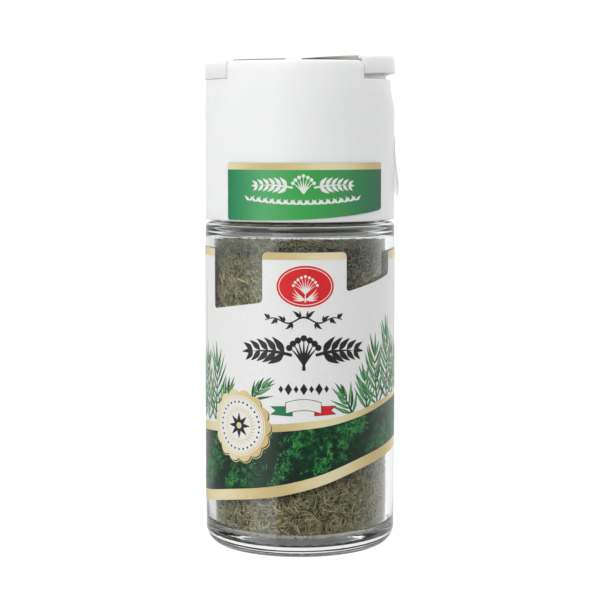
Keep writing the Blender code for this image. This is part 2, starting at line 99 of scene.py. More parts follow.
# Sizes of the cap and its flaps
CAP_RADIUS = 22.45 * MM
CAP_WALL = 1.5 * MM
SHELF_Z = 110.3 * MM
DECK_Z = 112.9 * MM
DECK_THICKNESS = 1.4 * MM
COLLAR_RADIUS = 20.4 * MM
NOTCH_HALF_ANGLE = math.radians(45.3)
NOTCH_CORNER = 1.6 * MM
CLEARANCE = 0.3 * MM
LIP_GAP = math.radians(0.45)
LIP_DROP = 0.12 * MM
SPOON_NEAR = 4.6 * MM
SPOON_FAR_RADIUS = 17.2 * MM
SPOON_HALF_LENGTH = 11.5 * MM
SIFTER_CENTRE = 10.6 * MM
SIFTER_PITCH = 5.6 * MM
SIFTER_RADIUS = 2.1 * MM

# Sizes of the labels
PAPER = 0.09 * MM
PRINT_STEP = 0.6 * MM
INK = 0.004 * MM
LABEL_RADIUS = GLASS_RADIUS + 0.02 * MM

# Lines on the wrap label, as points of (degrees from the front, millimetres)
LABEL_LOW_LINE = (
    (-90, 10.4),
    (-73.6, 11.05),
    (-43.7, 12.95),
    (-14.9, 14.65),
    (9.6, 16.95),
    (36.6, 20.35),
    (60.7, 22.45),
    (76.5, 23.45),
    (98, 24.0),
)
UPPER_BAND_LINE = (
    (-90, 27.2),
    (-73.6, 27.9),
    (-14.9, 29.7),
    (1.4, 30.3),
    (18, 31.1),
    (36.6, 32.6),
    (64.1, 35.1),
    (98, 36.8),
)
UPPER_BAND_WIDTH_LINE = ((-90, 2.25), (-73.6, 2.2), (-14.9, 1.8), (18, 1.7), (64.1, 1.25), (98, 1.2))
TAB_TOP_Z = 70.8 * MM
WINDOW_CORNER = 0.9 * MM
TAB_CORNER = 1.1 * MM
SIDE_CORNER = 0.5 * MM

# Each window's start and end in degrees, and the height of its sill at both
LEFT_WINDOW = (-61.5, -22.4, 57.1 * MM, 59.3 * MM)
RIGHT_WINDOW = (28.1, 66.0, 61.7 * MM, 65.0 * MM)
BACK_PANEL_START = 98.0
BACK_PANEL_STEP = 9.0
PRINT_SPAN = (-89.0, 97.0)
STICKER_RADIUS = CAP_RADIUS + 0.02 * MM
STICKER_SPAN = (-47.3, 56.3)
STICKER_RISE = 2.3 * MM
STICKER_CORNER = 0.7 * MM
SEAL_ANGLE = 92.0
SEAL_HALF_WIDTH = 4.5 * MM
SEAL_LIFT = 0.95 * MM
TOP_PAPER = (0.02 * MM, 0.16 * MM)

# Places of the ornaments, in degrees from the front and in height
ROSETTE_PLACE = (-38.4, 30.6 * MM)
MEDALLION_PLACE = (3.1, 63.1 * MM)
FRONT_MIDDLE = 2.2
VINE_Z = 55.4 * MM
GARLAND_Z = 47.4 * MM
BEADS_Z = 39.6 * MM
RIBBON_Z = (34.1 * MM, 36.3 * MM)
STICKER_MIDDLE = 2.0
STICKER_GARLAND_Z = 85.5 * MM
STICKER_ROW_Z = 81.7 * MM
BACK_TABLE = (116, 172)
BACK_TEXT = (184, 236)
BACK_TABLE_Z = 20 * MM
BACK_TABLE_STEP = 3.1 * MM
BACK_RULES_Z = 62.5 * MM
BACK_RULES_STEP = 2.3 * MM

# Sizes of the dill
FILL_Z = 72.6 * MM
DILL_SEED = 5
PRESSED = 0.12 * MM
PRESSED_START = 4.0 * MM
DUST_LOW_Z = 64.5 * MM

# Strengths of the light, by degrees round the jar from the front
FLOOR_STRIPS = (
    (-180, 0.9),
    (-140, 0.75),
    (-115, 0.32),
    (-66, 0.45),
    (-60, 1.35),
    (-30, 1.3),
    (-27, 0.08),
    (38, 0.08),
    (46, 0.2),
    (70, 0.3),
    (92, 0.6),
    (112, 1.1),
    (150, 0.95),
    (180, 0.9),
)
ROOM_STRIPS = (
    (-180, 0.95),
    (-110, 0.9),
    (-70, 0.95),
    (-25, 1.0),
    (10, 0.95),
    (60, 1.1),
    (100, 1.25),
    (130, 1.0),
    (180, 0.95),
)
# The dim glow of the floor just under the jar: a painted shadow
PAINTED_FLOOR_SHADOW = 0.3
KEY_POWER = 2.33
TOP_POWER = 1.0
BACKDROP = 1.05


# The inks: name, colour, and how much it varies
INKS = {
    "cream": ("cream print", (0.80, 0.80, 0.77), 0.03),
    "black": ("black print", (0.018, 0.018, 0.02), 0.3),
    "grey": ("grey print", (0.2, 0.2, 0.2), 0.1),
    "red": ("red print", (0.68, 0.018, 0.022), 0.08),
    "flag_green": ("ribbon green print", (0.012, 0.2, 0.085), 0.08),
    "straw": ("straw print", (0.52, 0.40, 0.16), 0.1),
    "leaf_dark": ("dark leaf print", (0.012, 0.075, 0.035), 0.25),
    "leaf_mid": ("leaf print", (0.02, 0.19, 0.06), 0.25),
    "leaf_light": ("pale leaf print", (0.16, 0.42, 0.16), 0.2),
    "tuft_dark": ("dark tuft print", (0.008, 0.06, 0.022), 0.3),
    "tuft_mid": ("tuft print", (0.016, 0.155, 0.04), 0.3),
    "tuft_light": ("bright tuft print", (0.055, 0.27, 0.06), 0.25),
}


# Meshes

def linked(name, mesh, material):
    """An object in the scene, from a mesh and its material."""
    mesh.materials.append(material)
    thing = bpy.data.objects.new(name, mesh)
    bpy.context.scene.collection.objects.link(thing)
    return thing


def add_shape(name, mesh, material, sharp=35.0):
    """A mesh made into a piece: doubled points joined, faces turned out, soft shading up to an angle."""
    shape = bmesh.new()
    shape.from_mesh(mesh)
    bmesh.ops.remove_doubles(shape, verts=shape.verts, dist=1e-7)
    bmesh.ops.recalc_face_normals(shape, faces=shape.faces)
    shape.to_mesh(mesh)
    shape.free()
    mesh.shade_smooth()
    mesh.set_sharp_from_angle(angle=math.radians(sharp))
    return linked(name, mesh, material)


def swept(name, columns, material, sharp, ring=True, loop=True):
    """A closed skin over columns of points.

    A ring joins the last column to the first, and a loop each column's last point to its first.
    """
    grid = np.array(columns, float)
    count, length = grid.shape[:2]
    faces = []
    for i in range(count if ring else count - 1):
        here, there = i * length, (i + 1) % count * length
        for j in range(length if loop else length - 1):
            k = (j + 1) % length
            faces.append((here + j, there + j, there + k, here + k))
    if not ring:
        faces.append(tuple(range(length)))
        faces.append(tuple(range((count - 1) * length, count * length)))
    mesh = bpy.data.meshes.new(name)
    mesh.from_pydata(grid.reshape(-1, 3).tolist(), [], faces)
    return add_shape(name, mesh, material, sharp)


def spread(start, end, steps):
    return [start + (end - start) * i / steps for i in range(steps + 1)]


def off(centre, distance, angle):
    """The point at a distance and a direction from another."""
    return (centre[0] + distance * math.cos(angle), centre[1] + distance * math.sin(angle))


def arc(centre_r, centre_z, radius, start, end, steps):
    return [off((centre_r, centre_z), radius, math.radians(turn)) for turn in spread(start, end, steps)]


def softened(points, radius, steps=3):
    """A line of (r, z) points with its inner corners rounded."""
    soft = [points[0]]
    for before, here, after in zip(points, points[1:], points[2:]):
        a, b, c = Vector(before), Vector(here), Vector(after)
        reach = min(radius, (a - b).length * 0.45, (c - b).length * 0.45)
        start, end = b + (a - b).normalized() * reach, b + (c - b).normalized() * reach
        for i in range(steps + 1):
            t = i / steps
            soft.append(tuple(start * (1 - t) ** 2 + b * 2 * t * (1 - t) + end * t * t))
    return soft + [points[-1]]


def ring_point(radius, angle):
    return (radius * math.cos(angle), radius * math.sin(angle))


def ring_arc(radius, start, end, steps):
    return [ring_point(radius, angle) for angle in spread(start, end, steps)]


def around(angle_degrees, radius, z):
    """A point on the jar: 0 degrees is the front (-Y), and the angle grows towards +X."""
    angle = math.radians(angle_degrees)
    return (radius * math.sin(angle), -radius * math.cos(angle), z)


def turned_column(profile, angle):
    return [(*ring_point(r, angle), z) for r, z in profile]


def fill_flat(shape, outlines):
    """Adds an outline, with any holes in it, to a bmesh as flat triangles that face up."""
    loops = [[Vector((x, y, 0.0)) for x, y in outline] for outline in outlines]
    points = [point for loop in loops for point in loop]
    verts = [shape.verts.new(point) for point in points]
    for triangle in tessellate_polygon(loops):
        a, b, c = (points[i] for i in triangle)
        area = (b - a).cross(c - a).z
        if abs(area) < 1e-16:
            continue
        order = triangle if area > 0 else triangle[::-1]
        shape.faces.new([verts[i] for i in order])


def slab(name, shapes, low, high):
    """A mesh of flat outlines, each with any holes in it, as thick as the space from low to high."""
    shape = bmesh.new()
    for outlines in shapes:
        fill_flat(shape, outlines)
    for vert in shape.verts:
        vert.co.z = low
    raised = bmesh.ops.extrude_face_region(shape, geom=list(shape.faces), use_keep_orig=True)
    for item in raised["geom"]:
        if isinstance(item, bmesh.types.BMVert):
            item.co.z = high
    bmesh.ops.recalc_face_normals(shape, faces=shape.faces)
    mesh = bpy.data.meshes.new(name)
    shape.to_mesh(mesh)
    shape.free()
    return mesh


def prism(name, outlines, low, high, material, bevel=0.0):
    """A slab as a piece of its own, with its edges rounded by the bevel."""
    thing = add_shape(name, slab(name, [outlines], low, high), material)
    if bevel:
        edge = thing.modifiers.new("Edge", "BEVEL")
        edge.width = bevel
        edge.segments = 3
        edge.limit_method = "ANGLE"
        edge.angle_limit = math.radians(50)
    return thing


# Materials

class Nodes:
    """A node tree, with short calls that add nodes and join them."""

    def __init__(self, tree):
        self.tree = tree

    def node(self, kind, inputs=(), **settings):
        """A new node with its settings, and its inputs by name or number, each a value or a socket."""
        made = self.tree.nodes.new(f"ShaderNode{kind}")
        for key, value in settings.items():
            setattr(made, key, value)
        for socket, value in dict(inputs).items():
            if isinstance(value, bpy.types.NodeSocket):
                self.link(value, made.inputs[socket])
            else:
                made.inputs[socket].default_value = value
        return made

    def link(self, source, target):
        self.tree.links.new(source, target)

    def maths(self, operation, first, second=0.0, third=0.0):
        return self.node("Math", {0: first, 1: second, 2: third}, operation=operation).outputs["Value"]

    def ramp(self, source, stops):
        """A colour or grey value read off stops of (position, value)."""
        made = self.node("ValToRGB", {"Fac": source})
        elements = made.color_ramp.elements
        while len(elements) < len(stops):
            elements.new(0.5)
        for element, (position, value) in zip(elements, stops):
            element.position = position
            element.color = (*value, 1.0) if isinstance(value, tuple) else (value, value, value, 1.0)
        return made.outputs["Color"]

    def turn_from_front(self, x, y):
        """Radians round the jar from its front, growing towards +X."""
        return self.maths("ARCTAN2", x, self.maths("MULTIPLY", y, -1.0))

    def mixed_shader(self, factor, first, second):
        return self.node("MixShader", {0: factor, 1: first, 2: second}).outputs["Shader"]

    def set_surface(self, shader):
        self.link(shader, self.tree.nodes["Material Output"].inputs["Surface"])


class Paint(Nodes):
    """A Principled material, with short calls for the patterns that drive it."""

    def __init__(self, name, colour, roughness, **values):
        self.material = bpy.data.materials.new(name)
        self.material.use_nodes = True
        super().__init__(self.material.node_tree)
        self.shader = self.tree.nodes["Principled BSDF"]
        self.shader.inputs["Base Color"].default_value = (*colour, 1.0)
        self.shader.inputs["Roughness"].default_value = roughness
        for socket, value in values.items():
            self.shader.inputs[socket.replace("_", " ")].default_value = value
        self.place = self.node("TexCoord").outputs["Object"]

    def scaled(self, x, y, z):
        """Object coordinates stretched by a factor along each axis."""
        return self.node("Mapping", {"Vector": self.place, "Scale": (x, y, z)}).outputs["Vector"]

    def noise(self, scale, detail, roughness, vector=None, distortion=0.0):
        inputs = {"Vector": vector or self.place, "Scale": scale, "Detail": detail}
        inputs |= {"Roughness": roughness, "Distortion": distortion}
        return self.node("TexNoise", inputs).outputs["Fac"]

    def split(self):
        return self.node("SeparateXYZ", {"Vector": self.place}).outputs

    def angle_from_front(self):
        """Degrees round the jar from its front, growing towards +X."""
        x, y, _ = self.split()
        return self.maths("DEGREES", self.turn_from_front(x, y))

    def colour(self, source):
        self.link(source, self.shader.inputs["Base Color"])

    def rough(self, source):
        self.link(source, self.shader.inputs["Roughness"])

    def bump(self, height, strength, distance):
        made = self.node("Bump", {"Strength": strength, "Distance": distance, "Height": height})
        self.link(made.outputs["Normal"], self.shader.inputs["Normal"])


def glass_material():
    """Clear flint glass, rippled below and smoother on its shoulder, which lets the lamps light the fill."""
    paint = Paint("clear glass", (0.955, 0.98, 0.97), 0.0, Transmission_Weight=1.0, IOR=1.51)
    ripple = paint.noise(60.0, 2.0, 0.45, paint.scaled(1.0, 1.0, 0.35))
    fade, level, least = -150.0, 11.75, 0.2
    calm = paint.maths("MULTIPLY_ADD", paint.split()["Z"], fade, level)
    calm = paint.maths("MINIMUM", paint.maths("MAXIMUM", calm, least), 1.0)
    paint.bump(paint.maths("MULTIPLY", ripple, calm), 0.06, 0.0006)
    clear = paint.node("BsdfTransparent", {"Color": (0.95, 0.97, 0.96, 1.0)}).outputs["BSDF"]
    shadow = paint.node("LightPath").outputs["Is Shadow Ray"]
    paint.set_surface(paint.mixed_shader(shadow, paint.shader.outputs["BSDF"], clear))
    return paint.material


def foot_material():
    """The stippled underside of the foot, which scatters what shines through it."""
    paint = Paint("stippled glass", (0.92, 0.96, 0.95), 0.5, Transmission_Weight=1.0, IOR=1.51)
    paint.bump(paint.noise(1500.0, 3.0, 0.6), 0.8, 0.0004)
    return paint.material


def plastic_material():
    """White moulded polypropylene: faint waxy mottle, a fine satin skin and the lightest scuffs."""
    below = {"Subsurface_Weight": 0.7, "Subsurface_Radius": (1.0, 0.95, 0.9), "Subsurface_Scale": 0.002}
    paint = Paint("white polypropylene", (0.89, 0.895, 0.89), 0.36, IOR=1.49, **below)
    mottle = paint.noise(90.0, 4.0, 0.6)
    paint.colour(paint.ramp(mottle, ((0.3, (0.885, 0.89, 0.887)), (0.7, (0.92, 0.923, 0.922)))))
    scuff = paint.noise(700.0, 5.0, 0.7, paint.scaled(1.0, 1.0, 0.25))
    paint.rough(paint.ramp(scuff, ((0.35, 0.31), (0.75, 0.45))))
    grain = paint.noise(3500.0, 2.0, 0.5)
    paint.bump(grain, 0.05, 0.00005)
    return paint.material


def paper_material():
    """Off-white varnished label paper with the faintest fibre."""
    paint = Paint("label paper", (0.82, 0.825, 0.815), 0.34, IOR=1.45)
    fibre = paint.noise(900.0, 5.0, 0.65)
    paint.colour(paint.ramp(fibre, ((0.3, (0.79, 0.795, 0.785)), (0.75, (0.84, 0.845, 0.835)))))
    paint.rough(paint.ramp(fibre, ((0.3, 0.3), (0.7, 0.42))))
    paint.bump(fibre, 0.06, 0.00004)
    return paint.material


def ink_material(name, colour, variation=0.06, roughness=0.33):
    """Printed ink: nearly even, with a slight mottle from the paper below."""
    paint = Paint(name, colour, roughness, IOR=1.45)
    mottle = paint.noise(1300.0, 4.0, 0.6)
    darker = tuple(part * (1 - variation) for part in colour)
    lighter = tuple(min(1.0, part * (1 + variation)) for part in colour)
    paint.colour(paint.ramp(mottle, ((0.3, darker), (0.7, lighter))))
    paint.rough(paint.ramp(mottle, ((0.3, roughness - 0.04), (0.7, roughness + 0.06))))
    return paint.material


def seal_material():
    """Thin white seal paper that lets some light through."""
    paint = Paint("seal paper", (0.94, 0.94, 0.955), 0.7, IOR=1.1, Transmission_Weight=0.7)
    fibre = paint.noise(800.0, 4.0, 0.6)
    paint.colour(paint.ramp(fibre, ((0.3, (0.91, 0.91, 0.93)), (0.7, (0.96, 0.96, 0.975)))))
    return paint.material


def shaded_edge_material():
    """The label's turned-down edge: brown print with painted shade, darkest near the front and paling towards
    the raised lip where the painted shade lifts.
    """
    paint = Paint("edge print", (0.08, 0.06, 0.05), 0.45, IOR=1.45)
    along = paint.maths("DIVIDE", paint.maths("ADD", paint.angle_from_front(), 60.0), 120.0)
    # Painted shade of the gap under the ajar flap: dark near the front, pale towards the lip
    stops = (
        (0.18, (0.22, 0.09, 0.06)),
        (0.5, (0.05, 0.035, 0.028)),
        (0.6, (0.09, 0.075, 0.06)),
        (0.8, (0.42, 0.41, 0.38)),
    )
    paint.colour(paint.ramp(along, stops))
    return paint.material


def gold_material():
    """Printed gold: pale beige bands that swell from light to dark round the jar, with a fine drag."""
    paint = Paint("printed gold", (0.75, 0.62, 0.36), 0.34, IOR=1.45, Metallic=0.15)
    angle = paint.angle_from_front()
    wave = paint.maths("SINE", paint.maths("MULTIPLY", angle, math.radians(5.0)))
    drag = paint.noise(500.0, 3.0, 0.6, paint.scaled(1.0, 1.0, 9.0))
    value = paint.maths("MULTIPLY_ADD", wave, 0.36, 0.5)
    value = paint.maths("ADD", value, paint.maths("MULTIPLY_ADD", drag, 0.24, -0.12))
    stops = ((0.05, (0.55, 0.42, 0.185)), (0.5, (0.74, 0.62, 0.325)), (0.95, (0.87, 0.79, 0.52)))
    paint.colour(paint.ramp(value, stops))
    paint.rough(paint.ramp(drag, ((0.3, 0.28), (0.7, 0.4))))
    return paint.material


def foliage_material():
    """The dark green printed band: mottled leaf greens over near black."""
    paint = Paint("printed foliage", (0.01, 0.09, 0.03), 0.3, IOR=1.45)
    leaf = paint.noise(520.0, 7.0, 0.68, paint.scaled(1.0, 1.0, 1.6), distortion=0.6)
    clump = paint.noise(120.0, 3.0, 0.5, distortion=0.4)
    value = paint.maths("MULTIPLY", leaf, paint.maths("MULTIPLY_ADD", clump, 1.1, 0.42))
    stops = (
        (0.3, (0.008, 0.016, 0.014)),
        (0.5, (0.006, 0.032, 0.016)),
        (0.66, (0.01, 0.085, 0.03)),
        (0.85, (0.03, 0.16, 0.05)),
    )
    paint.colour(paint.ramp(value, stops))
    return paint.material


def lit_green_print_material():
    """The cap label's green print, with painted light and shade: a painted highlight in the middle and at the
    left third, and painted shade, darker and cooler, towards the ends.
    """
    paint = Paint("printed green", (0.03, 0.3, 0.08), 0.3, IOR=1.45)
    angle = paint.angle_from_front()
    along = paint.maths("MULTIPLY_ADD", angle, 1 / 104, 0.48)
    grain = paint.noise(1200.0, 3.0, 0.6)
    along = paint.maths("ADD", along, paint.maths("MULTIPLY_ADD", grain, 0.06, -0.03))
    # Painted highlight at the left third and middle, painted shade towards both ends
    stops = (
        (0.0, (0.003, 0.18, 0.075)),
        (0.27, (0.07, 0.39, 0.13)),
        (0.5, (0.045, 0.37, 0.075)),
        (0.74, (0.05, 0.28, 0.085)),
        (1.0, (0.004, 0.11, 0.055)),
    )
    paint.colour(paint.ramp(along, stops))
    return paint.material


def leaf_material(name, dark, middle, light):
    """Dried leaf: each bit has its own tint, with paler ridges and a dull, slightly waxy skin."""
    paint = Paint(name, middle, 0.72, Specular_IOR_Level=0.25)
    tint = paint.node("Attribute", attribute_name="tint").outputs["Fac"]
    streak = paint.noise(1600.0, 3.0, 0.6)
    value = paint.maths("ADD", tint, paint.maths("MULTIPLY_ADD", streak, 0.5, -0.25))
    paint.colour(paint.ramp(value, ((0.08, dark), (0.5, middle), (0.95, light))))
    paint.rough(paint.ramp(streak, ((0.3, 0.6), (0.7, 0.85))))
    paint.bump(streak, 0.35, 0.00012)
    return paint.material


def shaded_core_material():
    """The mass of leaf behind the bits that touch the glass, painted dark as the shade deep in the leaf."""
    paint = Paint("dill depth", (0.03, 0.028, 0.013), 0.9, Specular_IOR_Level=0.1)
    clump = paint.noise(900.0, 6.0, 0.75)
    # Painted shade: leaf colour darkened to the dimness deep in the mass
    stops = ((0.35, (0.02, 0.018, 0.01)), (0.55, (0.075, 0.068, 0.034)), (0.75, (0.17, 0.15, 0.075)))
    paint.colour(paint.ramp(clump, stops))
    paint.bump(clump, 0.8, 0.0006)
    return paint.material


# The jar

def make_glass(glass):
    """The glass: a thick foot with ridges under it, walls a little uneven inside, a shoulder and a neck."""
    floor = ((0, 0.1), (4, 0.09), (8, 0.06), (13, 0.02))
    inside = [(r * MM, FLOOR_Z + rise * MM) for r, rise in floor]
    inside += arc(INNER_RADIUS - FLOOR_FILLET, FLOOR_Z + FLOOR_FILLET, FLOOR_FILLET, -90, 0, 12)
    inside += [(INNER_RADIUS, z) for z in spread(12 * MM, 70 * MM, 24)]
    inside += arc(INNER_RADIUS - FILLET, FILLET_Z, FILLET, 0, 60, 18)
    neck_in = [(MOUTH_RADIUS + 0.35 * MM, NECK_START_Z), (MOUTH_RADIUS, 80.6 * MM), (MOUTH_RADIUS, 85 * MM)]
    lip = arc(MOUTH_RADIUS + MOUTH_ROUND, MOUTH_Z - MOUTH_ROUND, MOUTH_ROUND, 180, 0, 10)
    bead = softened(
        [
            (NECK_RADIUS, 94.2 * MM),
            (NECK_RADIUS, 93.2 * MM),
            (NECK_BEAD_RADIUS, 92.4 * MM),
            (NECK_BEAD_RADIUS, 91.2 * MM),
            (NECK_RADIUS, 90.2 * MM),
            (NECK_RADIUS, NECK_START_Z),
            (GLASS_RADIUS - 2.0 * MM, 77.15 * MM),
        ],
        0.5 * MM,
    )
    shoulder = arc(GLASS_RADIUS - 1.2 * MM, SHOULDER_Z - 0.4 * MM, 1.2 * MM, 80, 0, 9)
    upright = [(GLASS_RADIUS, z) for z in spread(75.4 * MM, 70 * MM, 8)]
    wall = [(GLASS_RADIUS, z) for z in spread(69 * MM, HEEL_RADIUS + 1 * MM, 24)]
    heel = arc(GLASS_RADIUS - HEEL_RADIUS, HEEL_RADIUS, HEEL_RADIUS, 0, -86, 16)
    foot = [(r, 0.0) for r in spread(GLASS_RADIUS - HEEL_RADIUS - 0.5 * MM, FOOT_INNER_RADIUS + 0.2 * MM, 8)]
    punt = [
        (FOOT_INNER_RADIUS - 0.6 * MM, 0.25 * MM),
        (FOOT_INNER_RADIUS - 1.6 * MM, 0.55 * MM),
        (9.5 * MM, PUNT_DEPTH - 0.45 * MM),
        (6 * MM, PUNT_DEPTH - 0.15 * MM),
        (3 * MM, PUNT_DEPTH - 0.03 * MM),
        (0.0, PUNT_DEPTH),
    ]
    wall_start, wall_end = 14, len(inside) + len(neck_in)
    profile = inside + neck_in + lip + bead + shoulder + upright + wall + heel + foot + punt
    columns = []
    for i in range(GLASS_TURNS):
        angle = math.tau * i / GLASS_TURNS
        column = []
        for j, (r, z) in enumerate(profile):
            if wall_start < j < wall_end and z < 72 * MM:
                wave = math.sin(2 * angle + 0.8 + z * 16) + 0.6 * math.sin(5 * angle + 2.0 - z * 30)
                r += WALL_WAVE * wave
            elif FOOT_INNER_RADIUS < r < GLASS_RADIUS - HEEL_RADIUS + 1.5 * MM and z < 0.25 * MM:
                z += FOOT_RIDGE * (i % 3 == 1)
            column.append((r, z))
        columns.append(turned_column(column, angle))
    jar = swept("glass_jar", columns, glass, loop=False, sharp=60.0)
    jar.data.materials.append(foot_material())
    for face in jar.data.polygons:
        if face.center.z < PUNT_DEPTH + 0.05 * MM and face.normal.z < -0.9:
            face.material_index = 1
    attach(jar, "jar")
    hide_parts("jar_glass")


def fill_height(x, y):
    """The dill's loose surface: higher on the left and at the back, with low mounds."""
    slope = -0.02 * x + 0.012 * y
    return FILL_Z + slope + 0.4 * MM * np.sin(x * 420 + 1.0) * np.cos(y * 380)


def seen_through(angle, z):
    """Whether the glass at an angle and height is clear of the label."""
    if z < label_bottom(angle) + 1.2 * MM or z > LABEL_TOP_Z - 1.2 * MM:
        return True
    for start, end, low_start, low_end in (LEFT_WINDOW, RIGHT_WINDOW):
        if start - 3.0 < angle < end + 3.0:
            return z > low_start + (low_end - low_start) * (angle - start) / (end - start) - 1.0 * MM
    return False


def wall_path(along):
    """A point (r, z) on the glass's inside and its outward turn, by distance from the floor's middle ring."""
    floor_part, fillet = 5.0 * MM, FLOOR_FILLET
    if along < floor_part:
        return INNER_RADIUS - fillet - floor_part + along, FLOOR_Z + 0.05 * MM, -math.pi / 2
    turn = (along - floor_part) / fillet
    if turn < math.pi / 2:
        angle = turn - math.pi / 2
        centre = (INNER_RADIUS - fillet, FLOOR_Z + fillet)
        return centre[0] + fillet * math.cos(angle), centre[1] + fillet * math.sin(angle), angle
    return INNER_RADIUS, FLOOR_Z + fillet + along - floor_part - fillet * math.pi / 2, 0.0


def dusty(angle, z):
    """Whether a height is in the dusty part below the shoulder, which reaches further down on the right."""
    return z > (69.4 - 2.7 * min(1.0, max(0.0, (angle - 5) / 30))) * MM


def wall_places(draw, count):
    """Spots against the glass where the label leaves it clear, with their outward directions."""
    places, outwards = [], []
    while len(places) < count:
        angle = draw.uniform(-180, 180)
        r, z, tilt = wall_path(draw.uniform(0, 76 * MM))
        x, y, _ = around(angle, r, 0.0)
        if z > fill_height(x, y) or not seen_through(angle if angle > -90 else angle + 360, z):
            continue
        if dusty(angle, z) and draw.random() < 0.72:
            continue
        depth = draw.choice((0.2, 0.2, 0.25, 0.45, 0.55, 0.85)) * MM + draw.uniform(0, 0.12) * MM
        side = (x / r, y / r)
        outward = (side[0] * math.cos(tilt), side[1] * math.cos(tilt), math.sin(tilt))
        places.append((x - outward[0] * depth, y - outward[1] * depth, z - outward[2] * depth))
        outwards.append(outward)
    return np.array(places), np.array(outwards)


def dust_places(draw, count):
    """Spots of leaf dust that cling to the inside of the glass, thicker towards the shoulder."""
    places, outwards = [], []
    top = FILLET_Z - 0.05 * MM
    while len(places) < count:
        angle = draw.uniform(-180, 180)
        z = top - (top - DUST_LOW_Z) * abs(draw.gauss(0, 0.45))
        if z < DUST_LOW_Z or not seen_through(angle if angle > -90 else angle + 360, z):
            continue
        x, y, _ = around(angle, INNER_RADIUS - draw.uniform(0.06, 0.16) * MM, 0.0)
        places.append((x, y, z))
        outwards.append((x / INNER_RADIUS, y / INNER_RADIUS, 0.0))
    return np.array(places), unit(np.array(outwards))


def top_places(draw, count):
    """Spots on the dill's loose top, leaning every way."""
    places, outwards = [], []
    for _ in range(count):
        radius = (INNER_RADIUS - 2.4 * MM) * math.sqrt(draw.uniform(0, 1))
        x, y = ring_point(radius, draw.uniform(0, math.tau))
        places.append((x, y, fill_height(x, y) + draw.uniform(-0.5, 0.6) * MM))
        lean = Vector((draw.gauss(0, 0.3), draw.gauss(0, 0.3), 1.0)).normalized()
        outwards.append(tuple(lean))
    return np.array(places), np.array(outwards)


def unit(vectors):
    return vectors / np.linalg.norm(vectors, axis=-1, keepdims=True)


def leaf_bits(name, spots, material, seed, length, width, curl, lean=0.06, stations=4, ceiling=1.0):
    """Curved three-sided slivers that taper to their ends and stop at the ceiling, with a tint for each."""
    places, outwards = spots
    count = len(places)
    dice = np.random.default_rng(seed)
    helper = np.where(np.abs(outwards[:, 2:3]) < 0.9, [[0.0, 0.0, 1.0]], [[1.0, 0.0, 0.0]])
    side = unit(np.cross(outwards, helper))
    other = np.cross(outwards, side)
    spin = dice.uniform(0, math.pi, (count, 1))
    along = unit(side * np.cos(spin) + other * np.sin(spin) + outwards * dice.normal(0, lean, (count, 1)))
    across = unit(np.cross(outwards, along))
    up = np.cross(along, across)
    reach = length * dice.uniform(0.45, 1.3, (count, 1))
    thick = width * dice.uniform(0.65, 1.3, (count, 1))
    bend = dice.normal(0, curl, (count, 1))
    bow = dice.normal(0, curl * 0.3, (count, 1))
    twist = dice.uniform(-0.9, 0.9, (count, 1))
    verts = np.zeros((count, stations + 1, 3, 3))
    for i in range(stations + 1):
        t = i / stations * 2 - 1
        centre = places + along * (t * reach / 2) + (across * bend + up * bow) * reach * (t * t - 0.33)
        size = thick / 2 * (1 - 0.8 * abs(t) ** 2.4)
        for k in range(3):
            angle = math.tau * k / 3 + twist * t
            verts[:, i, k] = centre + across * size * np.cos(angle) + up * size * 0.8 * np.sin(angle)
    verts[..., 2] = np.minimum(verts[..., 2], ceiling)
    first = np.arange(count)[:, None] * (stations + 1) * 3
    faces = []
    for i in range(stations):
        for k in range(3):
            a, b = i * 3 + k, i * 3 + (k + 1) % 3
            faces.append(first + np.array([[a, b, b + 3, a + 3]]))
    quads = np.concatenate(faces).tolist()
    last = stations * 3
    ends = [first + np.array([corners]) for corners in ([2, 1, 0], [last, last + 1, last + 2])]
    mesh = bpy.data.meshes.new(name)
    mesh.from_pydata(verts.reshape(-1, 3).tolist(), [], quads + np.concatenate(ends).tolist())
    tints = np.clip(dice.normal(0.5, 0.26, count), 0, 1).repeat((stations + 1) * 3)
    mesh.attributes.new("tint", "FLOAT", "POINT").data.foreach_set("value", tints)
    mesh.shade_smooth()
    return linked(name, mesh, material)


def make_dill_core(draw):
    """The mass behind the bits: a little way in from the wall, and pressed on the glass floor."""
    columns = []
    for i in range(120):
        angle = math.tau * i / 120
        radius = INNER_RADIUS - 1.15 * MM
        x, y = ring_point(radius, angle)
        top = fill_height(x, y) - 0.6 * MM
        column = [(0.0, 0.0, fill_height(0.0, 0.0) - 0.6 * MM)]
        for part in (0.25, 0.5, 0.75, 0.95):
            x, y = ring_point(radius * part, angle)
            column.append((x, y, fill_height(x, y) - 0.6 * MM))
        for z in spread(top, FLOOR_Z + FLOOR_FILLET, 40):
            column.append((*ring_point(radius + draw.uniform(-0.2, 0.2) * MM, angle), z))
        reach = FLOOR_FILLET - 0.9 * MM
        for part in (75, 50, 25):
            turn = math.radians(part)
            r = INNER_RADIUS - FLOOR_FILLET + reach * math.sin(turn)
            column.append((*ring_point(r, angle), FLOOR_Z + FLOOR_FILLET - reach * math.cos(turn)))
        for r in spread(INNER_RADIUS - FLOOR_FILLET - 0.3 * MM, 0.0, 5)[:-1]:
            x, y = ring_point(r, angle)
            column.append((x, y, FLOOR_Z - PRESSED if y > PRESSED_START else FLOOR_Z + 0.5 * MM))
        column.append((0.0, 0.0, FLOOR_Z + 0.5 * MM))
        columns.append(column)
    return swept("dill_core", columns, shaded_core_material(), loop=False, sharp=80)


